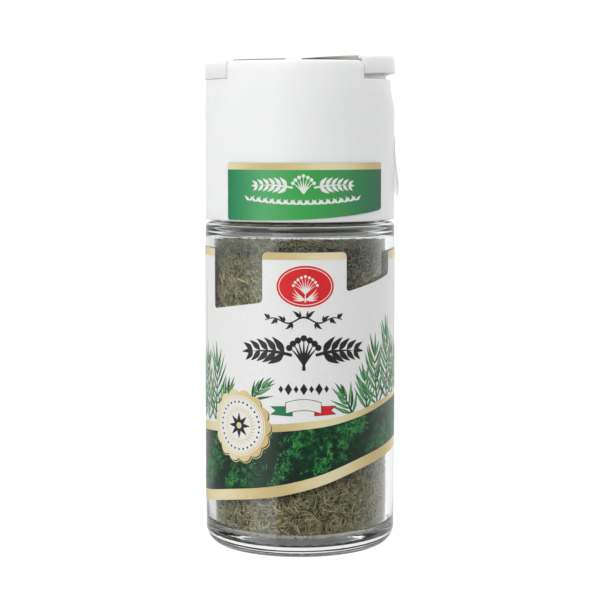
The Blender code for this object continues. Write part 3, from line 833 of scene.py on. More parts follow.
def make_dill():
    """The dried dill: a core painted dark as shade, and the leaf bits that lie against the glass and on the
    top.
    """
    draw = random.Random(DILL_SEED)
    olive = leaf_material("olive leaf", (0.10, 0.088, 0.045), (0.34, 0.30, 0.155), (0.56, 0.49, 0.27))
    green = leaf_material("green leaf", (0.07, 0.075, 0.042), (0.235, 0.23, 0.135), (0.42, 0.40, 0.24))
    straw = leaf_material("straw leaf", (0.30, 0.24, 0.11), (0.58, 0.47, 0.24), (0.78, 0.67, 0.4))
    loose = leaf_material("loose leaf", (0.2, 0.18, 0.1), (0.5, 0.45, 0.27), (0.7, 0.64, 0.42))
    dust = leaf_material("leaf dust", (0.12, 0.12, 0.10), (0.25, 0.245, 0.20), (0.38, 0.37, 0.31))
    groups = (
        ("dill_bits_olive_a", 3000, olive, wall_places, 2.6 * MM, 0.36 * MM, 0.07),
        ("dill_bits_olive_b", 3000, olive, wall_places, 3.6 * MM, 0.34 * MM, 0.09),
        ("dill_bits_green_a", 3000, green, wall_places, 2.5 * MM, 0.38 * MM, 0.07),
        ("dill_bits_straw", 850, straw, wall_places, 3.0 * MM, 0.31 * MM, 0.12),
        ("dill_dust", 5400, dust, dust_places, 0.55 * MM, 0.2 * MM, 0.1),
        ("dill_top_olive", 1560, loose, top_places, 4.2 * MM, 0.42 * MM, 0.12),
        ("dill_top_green", 900, green, top_places, 3.4 * MM, 0.45 * MM, 0.12),
        ("dill_top_straw", 480, straw, top_places, 4.6 * MM, 0.36 * MM, 0.14),
    )
    pieces = [make_dill_core(draw)]
    for seed, (name, count, material, places, length, width, curl) in enumerate(groups):
        spots = places(draw, count)
        lean = 0.3 if places is top_places else 0.06
        stations = 2 if places is dust_places else 4
        ceiling = 1.0 if places is top_places else FILLET_Z - 0.05 * MM
        pieces.append(leaf_bits(name, spots, material, seed, length, width, curl, lean, stations, ceiling))
    for piece in pieces:
        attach(piece, "jar")
        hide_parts("dill_leaf")


# The cap

def scoop(u, v, z, side):
    """How far the skirt is pushed in by the thumb hollow on that side."""
    depth = 0.95 * MM if side > 0 else 0.25 * MM
    reach = (v / (10.0 * MM)) ** 2 + ((z - SHELF_Z + 0.4 * MM) / (6.0 * MM)) ** 2
    return depth * (1 - reach) ** 1.3 if reach < 1 else 0.0


def wall_top(angle):
    """Height of the cap's wall at an angle of its own: the shelf in a notch, else the round-cornered rim."""
    away = abs((math.degrees(angle) + 90) % 180 - 90)
    inside = (math.radians(away) - NOTCH_HALF_ANGLE) * CAP_RADIUS
    if inside < -1e-9:
        return SHELF_Z
    if inside >= NOTCH_CORNER:
        return RIM_Z
    return RIM_Z - NOTCH_CORNER + math.sqrt(NOTCH_CORNER**2 - (NOTCH_CORNER - max(0.0, inside)) ** 2)


def cap_profile(angle):
    """The moulding's section at an angle: collar, groove, wall, skirt, snap tube, plug and chamber."""
    top = wall_top(angle)
    inner = CAP_RADIUS - CAP_WALL
    chamber = COLLAR_RADIUS - 1.2 * MM
    seat_low, seat_high = MOUTH_Z + CLEARANCE, MOUTH_Z + 1.7 * MM
    plug_outer, plug_inner = MOUTH_RADIUS - CLEARANCE, MOUTH_RADIUS - 1.2 * MM
    tube_inner, tube_outer = NECK_BEAD_RADIUS + 0.35 * MM, NECK_BEAD_RADIUS + 1.25 * MM
    tube_low, plug_low = 84 * MM, 92.3 * MM
    groove = min(SHELF_Z + 0.2 * MM, top)
    edge = 0.28 * MM if top > SHELF_Z else 0.2 * MM
    lead = 0.15 * MM if top > SHELF_Z else 0.0
    points = [(chamber, DECK_Z), (COLLAR_RADIUS - 1.0 * MM, DECK_Z)]
    points += arc(COLLAR_RADIUS - 0.45 * MM, DECK_Z - 0.45 * MM, 0.45 * MM, 90, 0, 5)
    points += [(COLLAR_RADIUS, groove + 0.25 * MM), (COLLAR_RADIUS + 0.08 * MM, groove + 0.05 * MM)]
    points += [(COLLAR_RADIUS + 0.25 * MM, groove), (inner - 0.05 * MM, groove)]
    points += [(inner, groove + lead), (inner, top - lead)]
    points += [(inner + 0.05 * MM, top - 0.3 * lead), (inner + 0.15 * MM, top)]
    points += arc(CAP_RADIUS - edge, top - edge, edge, 90, 0, 6)
    skirt = spread(min(top - edge, SHELF_Z - 0.35 * MM), SHELF_Z - 8 * MM, 18)
    points += [(CAP_RADIUS, z) for z in skirt]
    points += [(CAP_RADIUS, z) for z in spread(100 * MM, CAP_BOTTOM_Z + 0.35 * MM, 10)]
    points += arc(CAP_RADIUS - 0.3 * MM, CAP_BOTTOM_Z + 0.3 * MM, 0.3 * MM, 0, -90, 4)[1:]
    points += [(inner + 0.1 * MM, CAP_BOTTOM_Z), (inner, CAP_BOTTOM_Z + 0.1 * MM), (inner, seat_low)]
    points += [(tube_outer, seat_low), (tube_outer, tube_low), (tube_inner, tube_low), (tube_inner, seat_low)]
    points += [(plug_outer, seat_low), (plug_outer, plug_low + 0.3 * MM), (plug_outer - 0.3 * MM, plug_low)]
    points += [(plug_inner, plug_low), (plug_inner, seat_high - 0.2 * MM), (plug_inner + 0.2 * MM, seat_high)]
    points += [(inner, seat_high), (inner, SHELF_Z - 2.6 * MM), (chamber, SHELF_Z - 0.9 * MM)]
    points += [(chamber, DECK_Z - DECK_THICKNESS)]
    return points


def cap_angles():
    """Angles round the cap, close together where the notches start and end."""
    angles = set()
    for side in (0.0, 180.0):
        half = math.degrees(NOTCH_HALF_ANGLE)
        corner = math.degrees(NOTCH_CORNER / CAP_RADIUS)
        for way in (-1, 1):
            edge = side + way * half
            angles.add(edge - way * 0.02)
            for part in (0.0, 0.01, 0.05, 0.12, 0.22, 0.36, 0.55, 0.78, 1.0):
                angles.add(edge + way * corner * part)
            angles.add(edge - way * 0.8)
    angles = {round(angle % 360, 4) for angle in angles}
    near = sorted(angles)
    for i in range(180):
        angle = i * 2.0
        if min(abs((angle - other + 180) % 360 - 180) for other in near) > 0.9:
            angles.add(angle)
    return [math.radians(angle) for angle in sorted(angles)]


def cap_turned(thing):
    thing.data.transform(Matrix.Rotation(CAP_TURN, 4, "Z"))
    return thing


def make_cap_shell(white):
    columns = []
    for angle in cap_angles():
        column = []
        for r, z in cap_profile(angle):
            x, y = ring_point(r, angle)
            if r > CAP_RADIUS - 0.5 * MM and 95 * MM < z <= SHELF_Z:
                side = 1 if x > 0 else -1
                pushed = scoop(x, y, z, side)
                x, y = ring_point(r - pushed, angle)
            column.append((x, y, z))
        columns.append(column)
    return swept("cap_shell", columns, white, sharp=40.0)


def spoon_outline(inset=0.0, steps=28):
    """The D-shaped opening: straight beside the hinge, round towards the wall."""
    near = SPOON_NEAR + inset
    far = SPOON_FAR_RADIUS - inset
    half = SPOON_HALF_LENGTH - inset
    end = math.asin(half / far)
    corner = 1.2 * MM
    turns = [(corner * (1 - math.cos(t)), corner * (1 - math.sin(t))) for t in spread(0, math.pi / 2, 5)]
    outline = [(near, half - corner)] + [(near + across, back - half) for across, back in turns]
    outline += ring_arc(far, -end, end, steps)
    outline += [(near + back, half - across) for across, back in turns]
    return outline[:-1]


def sifter_centres():
    middle = Vector((-SIFTER_CENTRE, 0.0))
    ring = [Vector(ring_point(SIFTER_PITCH, math.tau * i / 6 + math.pi / 6)) for i in range(6)]
    return [middle] + [middle + step for step in ring]


def circle(centre, radius, steps):
    return [off(centre, radius, turn) for turn in spread(0, math.tau * (1 - 1 / steps), steps - 1)]


def make_deck(white):
    """The deck under the flaps, with the spoon opening and the sifter holes."""
    edge = circle((0.0, 0.0), COLLAR_RADIUS - 1.15 * MM, 120)
    holes = [spoon_outline()] + [circle(centre, SIFTER_RADIUS, 32) for centre in sifter_centres()]
    return prism("cap_deck", [edge] + holes, DECK_Z - DECK_THICKNESS, DECK_Z - 0.02 * MM, white, 0.15 * MM)


def make_hinge_bar(white):
    half, length = HINGE_OFFSET - CLEARANCE, CAP_RADIUS - 1.4 * MM
    outline = [(-half, -length), (half, -length), (half, length), (-half, length)]
    return prism("cap_hinge_bar", [outline], DECK_Z - 0.3 * MM, HINGE_Z - 0.15 * MM, white, 0.12 * MM)


def make_cap(white):
    shell, deck, bar = make_cap_shell(white), make_deck(white), make_hinge_bar(white)
    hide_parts("cap_skirt", "cap_plug", "cap_deck")
    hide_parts("cap_deck")
    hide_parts("cap_deck")
    for piece in (shell, deck, bar):
        cap_turned(piece)
        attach(piece, "jar")


def flap_column(angle, side):
    """A flap's section at an angle: the plate, its round outer edge and, over a notch, the lip."""
    start = (HINGE_OFFSET + 0.15 * MM) / math.cos(angle)
    lip_half = NOTCH_HALF_ANGLE - LIP_GAP
    lipped = abs(angle) <= lip_half + 1e-9
    outer = CAP_RADIUS if lipped else CAP_RADIUS - CAP_WALL - CLEARANCE
    low = LIP_BOTTOM_Z - LIP_DROP if lipped else HINGE_Z
    inner = max(outer - (1.5 * MM if lipped else 0.32 * MM), start)
    edge = 0.55 * MM if lipped else 0.3 * MM
    points = [(start, HINGE_Z), (start, FLAP_TOP_Z - 0.25 * MM), (start + 0.08 * MM, FLAP_TOP_Z - 0.07 * MM)]
    points += [(start + 0.25 * MM, FLAP_TOP_Z), (max(start, outer * 0.6), FLAP_TOP_Z)]
    points += [(outer - edge - 0.5 * MM, FLAP_TOP_Z)]
    points += arc(outer - edge, FLAP_TOP_Z - edge, edge, 90, 0, 7)
    points += [(outer, FLAP_TOP_Z - 0.95 * MM), (outer, low + 0.3 * MM), (outer - 0.06 * MM, low + 0.1 * MM)]
    points += [(outer - 0.2 * MM, low), (inner + 0.1 * MM, low), (inner, low + 0.1 * MM), (inner, HINGE_Z)]
    return [(side * max(r, start) * math.cos(angle), max(r, start) * math.sin(angle), z) for r, z in points]


def make_flap_shell(name, side, white):
    inside = CAP_RADIUS - CAP_WALL - CLEARANCE
    end = math.acos((HINGE_OFFSET + 0.15 * MM) / inside) - 0.01
    lip_half = NOTCH_HALF_ANGLE - LIP_GAP
    beside = lip_half + 0.0004
    angles = spread(-end, -beside, 24) + spread(-lip_half, lip_half, 60) + spread(beside, end, 24)
    return swept(name, [flap_column(angle, side) for angle in angles], white, ring=False, sharp=40.0)


def make_film(name, side, white):
    """The living hinge: a thin film from the bar to the flap."""
    near, far = HINGE_OFFSET - 0.75 * MM, HINGE_OFFSET + 0.95 * MM
    low, high = HINGE_Z - 0.13 * MM, HINGE_Z + 0.02 * MM
    length = CAP_RADIUS - 4.2 * MM
    columns = []
    for v in spread(-length, length, 24):
        column = []
        for u in spread(near, far, 14):
            column.append((side * u, v, high))
        for u in spread(far, near, 14):
            column.append((side * u, v, low))
        columns.append(column)
    return swept(name, columns, white, ring=False, sharp=60.0)


def opened(side):
    """Where a closed flap's things go: turned with the cap, and ajar on the right."""
    line = Matrix.Translation((side * HINGE_OFFSET, 0.0, HINGE_Z))
    ajar = Matrix.Rotation(-side * (AJAR if side > 0 else 0.0), 4, "Y")
    return Matrix.Rotation(CAP_TURN, 4, "Z") @ line @ ajar @ line.inverted()


def make_flap(side_name, side, body, white):
    pieces = [make_flap_shell(f"{side_name}_flap_shell", side, white)]
    if side > 0:
        loops = [spoon_outline(0.5 * MM), spoon_outline(1.4 * MM)]
        pieces.append(prism("spoon_seal_rib", loops, DECK_Z - 0.9 * MM, HINGE_Z + 0.3 * MM, white, 0.1 * MM))
    else:
        for i, centre in enumerate(sifter_centres()):
            loops = [circle(centre, SIFTER_RADIUS - 0.65 * MM, 24)]
            peg = prism(f"sifter_peg_{i}", loops, DECK_Z - 0.6 * MM, HINGE_Z + 0.3 * MM, white, 0.2 * MM)
            pieces.append(peg)
    for piece in pieces:
        piece.data.transform(opened(side))
        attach(piece, body)
        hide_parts(f"flap_{side_name}")
    film = make_film(f"{side_name}_hinge_film", side, white)
    film.data.transform(opened(side) if side < 0 else Matrix.Rotation(CAP_TURN, 4, "Z"))
    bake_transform(film)


# The labels

def window_side(angle):
    return min(max(start - angle, angle - end) for start, end, _, _ in (LEFT_WINDOW, RIGHT_WINDOW))


def corner_rise(inside, radius):
    """How far a round inner corner stands above the line beside it."""
    return radius - math.sqrt(max(0.0, radius**2 - max(0.0, radius - inside) ** 2))


def curve_through(points, angle):
    """Height in metres at an angle on a smooth line through (degrees, millimetres) points."""
    last = len(points) - 1
    if angle <= points[0][0]:
        return points[0][1] * MM
    if angle >= points[last][0]:
        return points[last][1] * MM
    i = max(k for k in range(last) if points[k][0] <= angle)

    def slope(k):
        low, high = max(k - 1, 0), min(k + 1, last)
        return (points[high][1] - points[low][1]) / (points[high][0] - points[low][0])

    (a, start), (b, end) = points[i], points[i + 1]
    t = (angle - a) / (b - a)
    first = (1 + 2 * t) * (1 - t) ** 2 * start + t * (1 - t) ** 2 * (b - a) * slope(i)
    second = t * t * (3 - 2 * t) * end - t * t * (1 - t) * (b - a) * slope(i + 1)
    return (first + second) * MM


def side_top(angle):
    """The label's top line outside the tab: a little lower just right of the right window."""
    return LABEL_TOP_Z - 0.1 * MM - 0.8 * MM * max(0.0, 1 - (angle - RIGHT_WINDOW[1]) / 40) * (angle > 0)


def label_top(angle):
    """Height of the label's top edge: it dips into the two windows, and all its corners are round."""
    for start, end, low_start, low_end in (LEFT_WINDOW, RIGHT_WINDOW):
        if start < angle < end:
            inside = math.radians(min(angle - start, end - angle)) * GLASS_RADIUS
            line = low_start + (low_end - low_start) * (angle - start) / (end - start)
            return line + corner_rise(inside, WINDOW_CORNER)
    inside = math.radians(window_side(angle)) * GLASS_RADIUS
    if LEFT_WINDOW[1] <= angle <= RIGHT_WINDOW[0]:
        return TAB_TOP_Z - corner_rise(inside, TAB_CORNER)
    return side_top(angle) - corner_rise(inside, SIDE_CORNER)


def label_bottom(angle):
    """Height of the label's bottom edge: it sweeps up across the front and steps down again behind."""
    step = min(1.0, max(0.0, (angle - BACK_PANEL_START) / BACK_PANEL_STEP))
    step = step * step * (3 - 2 * step)
    line = curve_through(LABEL_LOW_LINE, angle)
    return max(LABEL_LOW_Z, line + (LABEL_LOW_LINE[0][1] * MM - line) * step)


def label_angles():
    """Angles of the label's columns, close together at the corners of the windows."""
    step = math.degrees(PRINT_STEP / LABEL_RADIUS)
    count = round(360 / step)
    angles = [-90 + 360 * i / count for i in range(count)]
    beside = (-4, -2.6, -1.6, -0.9, -0.4, -0.12, -0.01, 0.01, 0.12, 0.4, 0.9, 1.6, 2.6)
    for start, end, _, _ in (LEFT_WINDOW, RIGHT_WINDOW):
        angles += [edge + reach for edge in (start, end) for reach in beside]
    angles = sorted(angles)
    return [a for a, b in zip(angles, angles[1:] + [1e9]) if b - a > 0.008]


def paper_band(name, columns, radius, thickness, material, ring):
    """Paper on a round surface, from columns of (angle, low z, high z)."""
    loops = []
    for angle, low, high in columns:
        rows = [(radius, z) for z in spread(low, high, 6)]
        rows += [(radius + thickness, z) for z in spread(high, low, 6)]
        loops.append([around(angle, r, z) for r, z in rows])
    return swept(name, loops, material, ring=ring, sharp=30.0)


class Surface:
    """A round surface to print on. Its flat coordinates are metres along it from the front, and height."""

    def __init__(self, radius, body, slot, inks):
        self.radius, self.body, self.slot, self.inks = radius, body, slot, inks

    def along(self, angle):
        """How far along the surface an angle from the front is."""
        return math.radians(angle) * self.radius

    def place(self, along, z, height):
        """The paper is a prism of narrow flats, and the ink lies on its flats."""
        cell = math.floor(along / PRINT_STEP + 1e-9)
        part = along / PRINT_STEP - cell
        radius = self.radius + height
        edges = [math.degrees((cell + k) * PRINT_STEP / self.radius) for k in (0, 1)]
        first, second = (around(edge, radius, z) for edge in edges)
        return tuple(a + (b - a) * part for a, b in zip(first, second))


def printed(name, surface, outlines, ink, level, overlap=0.0):
    """Flat outlines, each a list of loops with its edge first, laid in ink at their level on a surface.

    Outlines that may cross each other lie at slightly different heights, by up to the overlap.
    """
    dice = random.Random(name)
    shape = bmesh.new()
    lift = shape.verts.layers.float.new("lift")
    for loops in outlines:
        before = len(shape.verts)
        fill_flat(shape, loops)
        shape.verts.ensure_lookup_table()
        height = dice.uniform(0.0, overlap)
        for i in range(before, len(shape.verts)):
            shape.verts[i][lift] = height
    low = min(v.co.x for v in shape.verts)
    high = max(v.co.x for v in shape.verts)
    for cell in range(math.ceil(low / PRINT_STEP), math.floor(high / PRINT_STEP) + 1):
        bmesh.ops.bisect_plane(
            shape,
            geom=list(shape.verts) + list(shape.edges) + list(shape.faces),
            dist=1e-8,
            plane_co=(cell * PRINT_STEP, 0, 0),
            plane_no=(1, 0, 0),
        )
    verts = list(shape.verts)
    index = {vert: i for i, vert in enumerate(verts)}
    count = len(verts)
    top = PAPER + INK * level
    points = [surface.place(v.co.x, v.co.y, top + v[lift]) for v in verts]
    points += [surface.place(v.co.x, v.co.y, PAPER / 2) for v in verts]
    faces = []
    for face in shape.faces:
        ring = [index[v] for v in face.verts]
        faces.append(tuple(ring))
        faces.append(tuple(i + count for i in reversed(ring)))
    for edge in shape.edges:
        if len(edge.link_faces) == 1:
            loop = edge.link_loops[0]
            a, b = index[loop.vert], index[loop.link_loop_next.vert]
            faces.append((a, a + count, b + count, b))
    shape.free()
    mesh = bpy.data.meshes.new(name)
    mesh.from_pydata(points, [], faces)
    mesh.shade_smooth()
    mesh.set_sharp_from_angle(angle=math.radians(30))
    thing = linked(name, mesh, surface.inks[ink])
    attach(thing, surface.body)


def shifted(line, rise):
    """A line that gives a height for each angle, moved up."""
    return lambda angle: line(angle) + rise


def level_line(height):
    return lambda angle: height


def band_outline(surface, low, high, start, end, step=1.5, corner=0.0):
    """The outline between two lines over a span of angles, with close points by its rounded corners."""
    angles = spread(start + corner, end - corner, max(2, round((end - start - 2 * corner) / step)))
    if corner:
        angles = spread(start, start + corner, 12)[:-1] + angles + spread(end - corner, end, 12)[1:]
    lower = [(surface.along(a), low(a)) for a in angles]
    upper = [(surface.along(a), high(a)) for a in reversed(angles)]
    return [lower + upper]


def stroke(start, heading, length, width, bend=0.0, steps=6, root=0.25, tip=0.05):
    """A bent brush stroke that swells from its root and tapers to its tip, as one outline."""
    left, right = [], []
    x, y = start
    for i in range(steps + 1):
        t = i / steps
        angle = heading + bend * (t - 0.5)
        swell = (root + (1 - root) * min(1.0, t / 0.35)) * (1 - max(0.0, t - 0.35) / 0.65) ** 0.8
        half = width / 2 * max(tip, swell)
        across = (-math.sin(angle) * half, math.cos(angle) * half)
        left.append((x + across[0], y + across[1]))
        right.append((x - across[0], y - across[1]))
        x += math.cos(angle) * length / steps
        y += math.sin(angle) * length / steps
    return [right + left[::-1]]


def stem_points(start, heading, length, bend, steps):
    """Points and headings along a bent stem."""
    points = []
    x, y = start
    for i in range(steps + 1):
        angle = heading + bend * i / steps
        points.append((x, y, angle))
        x += math.cos(angle) * length / steps
        y += math.sin(angle) * length / steps
    return points


def beside(x, y, heading, reach, aside):
    """The point some way along a heading, and to the left of it by the distance aside."""
    forward, left = ring_point(reach, heading), ring_point(aside, heading)
    return (x + forward[0] - left[1], y + forward[1] + left[0])


def disc(centre, radius, steps):
    return [circle(centre, radius, steps)]


def ring_band(centre, outer, inner, steps):
    return [circle(centre, outer, steps), circle(centre, inner, steps)]


def rectangle(x, z, far_x, far_z):
    return [[(x, z), (far_x, z), (far_x, far_z), (x, far_z)]]


def scalloped(centre, radius, depth, lobes):
    """A disc whose edge is a row of round lobes."""
    outline = []
    for i in range(lobes * 10):
        angle = math.tau * i / (lobes * 10)
        lobe = depth * abs(math.cos(lobes * angle / 2)) ** 0.8
        outline.append(off(centre, radius - depth + lobe, angle))
    return [outline]


def sprig(draw, inks, root, heading, length, bend, leaves, reach, width):
    """A herb sprig: a stem, and long blade leaves that rise close along it and shorten towards its tip."""
    inks["dark"].append(stroke(root, heading + bend / 2, length, 0.55 * MM, bend, 10, root=1.0))
    points = stem_points(root, heading, length, bend, leaves)
    for i, (x, y, angle) in enumerate(points):
        t = i / leaves
        for side in (-1, 1):
            size = reach * (1 - 0.35 * t) * draw.uniform(0.75, 1.15)
            leaf = angle + side * (0.62 - 0.3 * t + draw.uniform(-0.16, 0.16))
            wide = width * draw.uniform(0.75, 1.2)
            curve = -side * draw.uniform(0.1, 0.6)
            tone = draw.choice(("dark", "mid", "mid"))
            inks[tone].append(stroke((x, y), leaf, size, wide, curve, 8))
            if tone == "mid" or draw.random() < 0.4:
                start = beside(x, y, leaf, size * 0.2, wide * 0.16 * side)
                inks["light"].append(stroke(start, leaf, size * 0.62, wide * 0.34, curve * 0.6, 6))
            if draw.random() < 0.35:
                start = beside(x, y, leaf, size * 0.25, -wide * 0.42 * side)
                inks["straw"].append(stroke(start, leaf, size * 0.6, 0.16 * MM, curve * 0.6, 6))
    x, y, angle = points[-1]
    inks["mid"].append(stroke((x, y), angle, reach * 0.7, width, 0.1, 8))


def umbel(outlines, root, heading, length, spread_angle, rays, width, dot):
    """A dill flower head: fine rays that fan from one point, with a dot at each end."""
    for i in range(rays):
        part = i / (rays - 1) * 2 - 1
        angle = heading + spread_angle * part
        reach = length * (1 - 0.16 * abs(part))
        outlines.append(stroke(root, angle, reach, width, spread_angle * part * 0.4, 5, root=1.0, tip=0.4))
        outlines.append(disc(off(root, reach, angle), dot, 12))


def garland(outlines, root, side, length, leaves, size, width, rise):
    """A leafy branch that runs sideways, with leaves above and below in turn."""
    heading, bend = math.pi / 2 - side * (math.pi / 2 - rise), -side * rise * 1.6
    points = stem_points(root, heading, length, bend, leaves)
    outlines.append(stroke(root, heading + bend / 2, length, width * 0.42, bend, 10, root=1.0))
    for i, (x, y, angle) in enumerate(points[1:]):
        t = i / leaves
        reach, wide = size * (1 - 0.45 * t), width * (1 - 0.3 * t)
        for way in (-1, 1):
            outlines.append(stroke((x, y), angle + way * 0.72, reach, wide, -way * 0.5, 7, root=0.15))
    x, y, angle = points[-1]
    outlines.append(stroke((x, y), angle, size * 0.6, width * 0.6, 0.0, 6))


def flag_ribbon(surface):
    """A folded ribbon: a white middle, with a green tail and a red one behind it."""
    left, right = -6.6 * MM, 8.2 * MM
    fold, notch = 3.9 * MM, 1.2 * MM
    low, high = RIBBON_Z
    drop, swell, line = 0.55 * MM, 0.75 * MM, 0.13 * MM
    tails = []
    for side, edge, near in ((-1, left, left + fold), (1, right, right - fold)):
        deep = near - side * 0.9 * MM
        tails.append(
            [
                (deep, low - drop),
                (edge, low - drop * 0.6),
                (edge - side * notch, (low + high) / 2 - drop),
                (edge, high - drop * 1.4),
                (deep, high - drop * 1.2),
            ]
        )
    start, end = left + fold - 0.5 * MM, right - fold + 0.5 * MM
    under = [(start + (end - start) * t, low + swell * math.sin(math.pi * t)) for t in spread(0, 1, 12)]
    middle = under + [(x, z + high - low + 0.2 * MM) for x, z in reversed(under)]
    edges = [[grown(outline, line)] for outline in tails]
    printed("ribbon_tail_edges", surface, edges, "black", 6)
    printed("ribbon_left_tail", surface, [[tails[0]]], "flag_green", 7)
    printed("ribbon_right_tail", surface, [[tails[1]]], "red", 7)
    printed("ribbon_middle_edge", surface, [[grown(middle, line)]], "black", 8)
    printed("ribbon_middle", surface, [[middle]], "cream", 9)


def grown(outline, distance):
    """An outline moved outwards all round by a distance."""
    count = len(outline)
    area = sum(a[0] * b[1] - b[0] * a[1] for a, b in zip(outline, outline[1:] + outline[:1]))
    way = 1 if area > 0 else -1
    made = []
    for i in range(count):
        before, here, after = Vector(outline[i - 1]), Vector(outline[i]), Vector(outline[(i + 1) % count])
        first, second = (here - before).normalized(), (after - here).normalized()
        out = Vector((first.y + second.y, -first.x - second.x)) * way
        out.normalize()
        lean = max(0.45, out.dot(Vector((first.y, -first.x)) * way))
        made.append(tuple(here + out * (distance / lean)))
    return made


def rosette(surface):
    """A gold rosette: a scalloped edge, pale rings, and a star with a ring of beads."""
    centre = (surface.along(ROSETTE_PLACE[0]), ROSETTE_PLACE[1])
    radius, depth, lobes = 8.45 * MM, 0.85 * MM, 14
    rim = (centre[0] + 0.3 * MM, centre[1] - 0.34 * MM)
    shade = (centre[0] + 0.2 * MM, centre[1] - 0.22 * MM)
    printed("rosette_rim", surface, [scalloped(rim, radius + 0.05 * MM, depth, lobes)], "gold", 9)
    printed("rosette_shade", surface, [scalloped(shade, radius, depth + 0.05 * MM, lobes)], "black", 10)
    printed("rosette_gold", surface, [scalloped(centre, radius, depth, lobes)], "gold", 11)
    printed("rosette_pale_ring", surface, [ring_band(centre, 7.0 * MM, 6.8 * MM, 72)], "cream", 12)
    printed("rosette_field", surface, [disc(centre, 6.55 * MM, 72)], "cream", 12)
    fine = [ring_band(centre, 6.25 * MM, 6.12 * MM, 72), ring_band(centre, 3.55 * MM, 3.42 * MM, 60)]
    for i in range(32):
        angle = math.tau * i / 32
        fine.append(stroke(off(centre, 3.6 * MM, angle), angle + 0.35, 1.2 * MM, 0.3 * MM, -0.7, 5, root=0.4))
    printed("rosette_rays", surface, fine, "gold", 13, 0.0015 * MM)
    star = [disc(off(centre, 5.5 * MM, math.tau * i / 28), 0.26 * MM, 12) for i in range(28)]
    star += [stroke(centre, math.tau * i / 8, 3.0 * MM, 1.15 * MM, 0.0, 8, root=0.1) for i in range(8)]
    printed("rosette_star", surface, star, "black", 14, 0.002 * MM)
    printed("rosette_heart", surface, [disc(centre, 0.75 * MM, 20)], "gold", 15)


def medallion(surface):
    """The red oval above the middle, with a white flower head in a fine ring."""
    centre = (surface.along(MEDALLION_PLACE[0]), MEDALLION_PLACE[1])

    def oval(wide, high):
        return [(centre[0] + wide * x, centre[1] + high * y) for x, y in circle((0.0, 0.0), 1.0, 64)]

    printed("medallion_field", surface, [[oval(6.6 * MM, 4.75 * MM)]], "red", 6)
    fine = [[oval(6.15 * MM, 4.3 * MM), oval(5.98 * MM, 4.13 * MM)]]
    umbel(fine, (centre[0], centre[1] - 1.7 * MM), math.pi / 2, 4.0 * MM, 0.95, 9, 0.24 * MM, 0.33 * MM)
    foot = (centre[0], centre[1] - 3.6 * MM)
    fine.append(stroke(foot, math.pi / 2, 2.1 * MM, 0.34 * MM, 0.0, 5, root=1.0, tip=0.6))
    for side in (-1, 1):
        root = (centre[0] + side * 0.1 * MM, centre[1] - 3.0 * MM)
        for k in range(4):
            heading = math.pi / 2 - side * (0.75 + 0.26 * k)
            fine.append(stroke(root, heading, (3.6 - 0.3 * k) * MM, 0.42 * MM, side * 0.5, 6))
    printed("medallion_flower", surface, fine, "cream", 7, 0.003 * MM)


def vine(outlines, middle, z, half, waves, height, leaf, width):
    """A waving stem through a middle point, with a pair of leaves at each crest that point outwards."""

    def line(t):
        return z + height * math.cos(math.pi * waves * t) * (1 - 0.45 * t * t)

    upper, lower = [], []
    for t in spread(-1, 1, 60):
        thick = 0.22 * MM * (1 - 0.5 * abs(t))
        upper.append((middle + half * t, line(t) + thick))
        lower.append((middle + half * t, line(t) - thick))
    outlines.append([lower + upper[::-1]])
    count = round(waves * 2)
    for side in (-1, 1):
        for k in range(1, count + 1):
            t = (k - 0.45) / count
            start = (middle + side * half * t, line(t))
            way = 1 if k % 2 else -1
            heading = math.pi / 2 - side * (math.pi / 2 - way * 0.75)
            aside, bend = side * way * 0.75, -side * way * 0.9
            size = leaf * (1 - 0.4 * t)
            outlines.append(stroke(start, heading, size, width, bend, 8, root=0.2))
            outlines.append(stroke(start, heading + aside, size * 0.75, width * 0.7, bend, 8, root=0.2))


def dark_ornaments(surface):
    """The dark print on the front: a fine vine, a leafy garland with a flower head, and a row of beads."""
    middle = surface.along(FRONT_MIDDLE)
    fine, bold, beads = [], [], []
    vine(fine, middle, VINE_Z, 9.0 * MM, 2.5, 0.7 * MM, 2.5 * MM, 0.85 * MM)
    for side in (-1, 1):
        garland(bold, (middle + side * 2.7 * MM, GARLAND_Z), side, 9.6 * MM, 5, 4.6 * MM, 1.75 * MM, 0.26)
    umbel(bold, (middle, GARLAND_Z - 2.1 * MM), math.pi / 2, 6.0 * MM, 0.72, 7, 0.6 * MM, 0.74 * MM)
    foot = (middle, GARLAND_Z - 3.5 * MM)
    bold.append(stroke(foot, math.pi / 2, 2.2 * MM, 0.8 * MM, 0.0, 5, root=1.0, tip=0.7))
    for k in range(-3, 4):
        x, z = middle + k * 1.75 * MM, BEADS_Z
        tall, wide = (1.35 * MM, 0.86 * MM) if k % 2 == 0 else (0.85 * MM, 0.55 * MM)
        beads.append([[(x - wide, z), (x, z - tall), (x + wide, z), (x, z + tall)]])
    for name, outlines in (("vine", fine), ("garland", bold), ("beads", beads)):
        printed(f"front_{name}", surface, outlines, "black", 6, 0.003 * MM)


